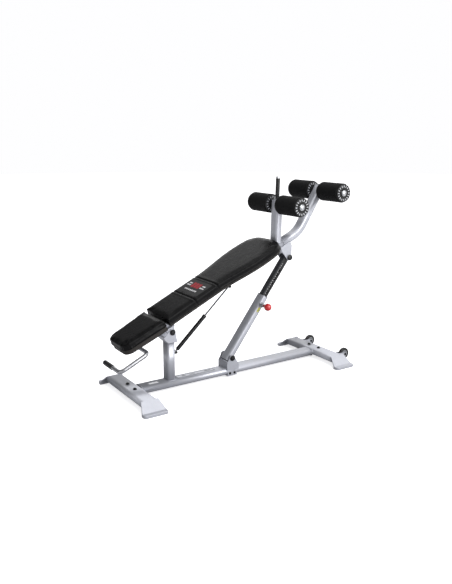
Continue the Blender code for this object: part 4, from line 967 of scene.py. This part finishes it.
# Printed vinyl label: a yellow-green field, left blank but for two plain grey bars.
label_green = finish("printed_label_green", ("#C2C23E", "#CDCC50"), 8, (0.35, 0.45))
on_sleeve = STRUT @ Matrix.Translation((0, -OVAL_TUBE[0] / 2, 0)) @ Matrix.Rotation(math.pi / 2, 4, "X")
label_spot = ((0.350, -0.0078), (0.383, 0.0078))
oblong("sleeve_label", *label_spot, 0.0003, 0.002, label_green, "strut_sleeve", on_sleeve)
for i, x in enumerate((0.356, 0.363)):
    spot = ((x, -0.0055), (x + 0.003, 0.0050))
    oblong(f"sleeve_label_bar_{i}", *spot, 0.0005, 0.0003, label_print, "strut_sleeve", on_sleeve)


# Strap bolts. Two black hexagon bolts a side pull the strap up under the beam to the saddle.
STRAP_BOLT_IN, STRAP_BOLT_UP, STRAP_HEX_R = 0.018, 0.0330, 0.0072
strap_low, strap_high = map(Vector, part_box("saddle_strap"))
for i, x in enumerate((strap_low.x + STRAP_BOLT_IN, strap_high.x - STRAP_BOLT_IN)):
    for side, y, turn in (("near", strap_low.y, NEAR_END), ("far", strap_high.y, FAR_END)):
        bm = bmesh.new()
        hexagon(bm, 0.0010, 0.0052, STRAP_HEX_R)
        lathe(bm, [(0.0012, 0), (0.0012, 0.0090), (0.0001, 0.0090), (0.0001, 0)], 32)
        at = Matrix.Translation((x, y, STRAP_BOLT_UP)) @ turn
        piece(f"strap_bolt_{side}_{i}", bm, black_oxide, "saddle_strap", (), at, 0.0002)


# Pull pin. A zinc-plated spring housing on the sleeve, and a steel pin with a ball knob of red
# phenolic, moulded and polished.
# Polished phenolic: deep even red under a hard gloss.
red_phenolic = finish(
    "polished_red_phenolic", ("#B81F22", "#C62A2C"), 20, (0.10, 0.18), 0.0, None, Coat_Weight=0.5
)
refine("pull_pin_housing", zinc, 0.0006)
KNOB_R, KNOB_OUT, PIN_R = 0.0250, 0.110, 0.0060
NECK_R, NECK_OUT, BALL_STEPS = 0.0105, 0.0830, 30
tip = -Vector(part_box("pull_pin")[1]).y
neck = math.asin(NECK_R / KNOB_R)
turns = [neck + (math.pi - neck) * i / BALL_STEPS for i in range(BALL_STEPS)]
ball = [(KNOB_OUT - KNOB_R * math.cos(a), KNOB_R * math.sin(a)) for a in turns]
bm = bmesh.new()
profile = [(tip, 0), (tip, PIN_R - 0.0008), (tip + 0.0008, PIN_R), (0.0800, PIN_R)]
profile += [(0.0800, 0.0100), (NECK_OUT, NECK_R)]
lathe(bm, profile + [p for p in ball if p[0] > 0.0835] + [(KNOB_OUT + KNOB_R, 0)], 72)
pull_at = STRUT @ Matrix.Translation((PULL_ALONG, 0, 0)) @ NEAR_END
piece("pull_pin_knob", bm, red_phenolic, "pull_pin", ("pull_pin",), pull_at, 0.0, 40)


# Gas spring. A black enamelled cylinder with a rolled end, and a ground and nitrided rod.
# Black enamel: smooth and deep, with a restrained shine.
enamel = finish("black_enamel", ("#08090A", "#0D0E0F"), 25, (0.2, 0.28), 0.0, None, Specular_IOR_Level=0.25)
refine("gas_cylinder", enamel, 0.0006)
# Nitrided steel: a dark grey skin on a ground rod.
nitrided = finish("nitrided_steel", ("#46474A", "#505154"), 12, (0.2, 0.28), 0.8, None)
refine("gas_rod", nitrided, 0.0003)
GAS_TOP = (0.5016, 0, 0.0130)  # the upper eye, in the bench's own axes
gas_way = Vector(JOINT["gas_stroke"]["axis"])
gas_foot = Vector(JOINT["gas_swing"]["pos_m"])
gas_lean = Matrix.Rotation(-math.atan2(gas_way.z, gas_way.x), 4, "Y")
gas_at = Matrix.Translation(gas_foot) @ gas_lean @ ALONG
bm = bmesh.new()
collar = [(0.2860, 0.0127), (0.2860, 0.0131), (0.2875, 0.0134), (0.2985, 0.0134), (0.3005, 0.0122)]
lathe(bm, collar + [(0.3005, 0.0062), (0.2990, 0.0062), (0.2990, 0.0127)], 64, ring=True)
piece("gas_cylinder_collar", bm, black_nylon, "gas_cylinder", (), gas_at, 0.0, 50)
for node, eye in (("gas_lug_low", gas_foot), ("gas_lug_high", BENCH @ Vector(GAS_TOP))):
    low, high = map(Vector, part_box(node))
    for side, y, turn in (("near", low.y, NEAR_END), ("far", high.y, FAR_END)):
        bm = bmesh.new()
        dome = [(0.0075, 0), (0.0070, 0.0040), (0.0055, 0.0066), (0.0030, 0.0080), (-0.0002, 0.0084)]
        lathe(bm, dome + [(-0.0002, 0)], 40)
        at = Matrix.Translation((eye.x, y, eye.z)) @ turn
        piece(f"{node}_cap_{side}", bm, cap_rubber, node, (), at, 0.0, 50)


# Transport wheels. Solid black rubber tyres, with a fine parting groove, on pale spoked nylon hubs.
# Each turns on a black bolt through its fork.
# Moulded nylon: pale grey with a fine grain and a low sheen.
WHEEL_R, WHEEL_HALF, HUB_OUTER = 0.0420, 0.0110, 0.0250
hub_grey = finish("moulded_grey_nylon", ("#8A8C90", "#96989B"), 6, (0.35, 0.45), 0.0, (0.02, 0.9))
for side in ("near", "far"):
    node = f"wheel_{side}"
    low, high = map(Vector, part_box(node))
    place = Matrix.Translation((low + high) / 2) @ NEAR_END
    bm = bmesh.new()
    turned_off = ((0.86, 0.0022), (0.62, 0.0004), (0.4, 0), (0.22, 0), (0.12, 0.0010), (0, 0.0012))
    shoulder = [(WHEEL_HALF, HUB_OUTER), (WHEEL_HALF, WHEEL_R - 0.006)]
    shoulder += [(WHEEL_HALF * share, WHEEL_R - drop) for share, drop in turned_off]
    lathe(bm, shoulder + [(-along, r) for along, r in reversed(shoulder[:-1])], 96, ring=True)
    piece(f"{node}_tyre", bm, cap_rubber, node, (node,), place, 0.0, 50)
    bm = bmesh.new()
    half = (high.y - low.y) / 2
    rim = [(0.0105, 0.0205), (0.0105, HUB_OUTER - 0.0003), (-0.0105, HUB_OUTER - 0.0003), (-0.0105, 0.0205)]
    lathe(bm, rim, 72, ring=True)
    lathe(bm, [(half, 0.0056), (half, 0.0115), (-half, 0.0115), (-half, 0.0056)], 48, ring=True)
    lathe(bm, [(0.0030, 0.0110), (0.0030, 0.0210), (-0.0030, 0.0210), (-0.0030, 0.0110)], 72, ring=True)
    for i in range(6):
        new = bmesh.ops.create_cube(bm, size=1.0)["verts"]
        bmesh.ops.scale(bm, verts=new, vec=(0.0105, 0.0030, 0.0180))
        bmesh.ops.translate(bm, verts=new, vec=(0.0160, 0, 0))
        bmesh.ops.rotate(bm, verts=new, matrix=Matrix.Rotation(math.tau * i / 6, 3, "Z"))
    piece(f"{node}_hub", bm, hub_grey, node, (), place, 0.0004)
    refine(f"wheel_axle_{side}", black_oxide, 0.0008)
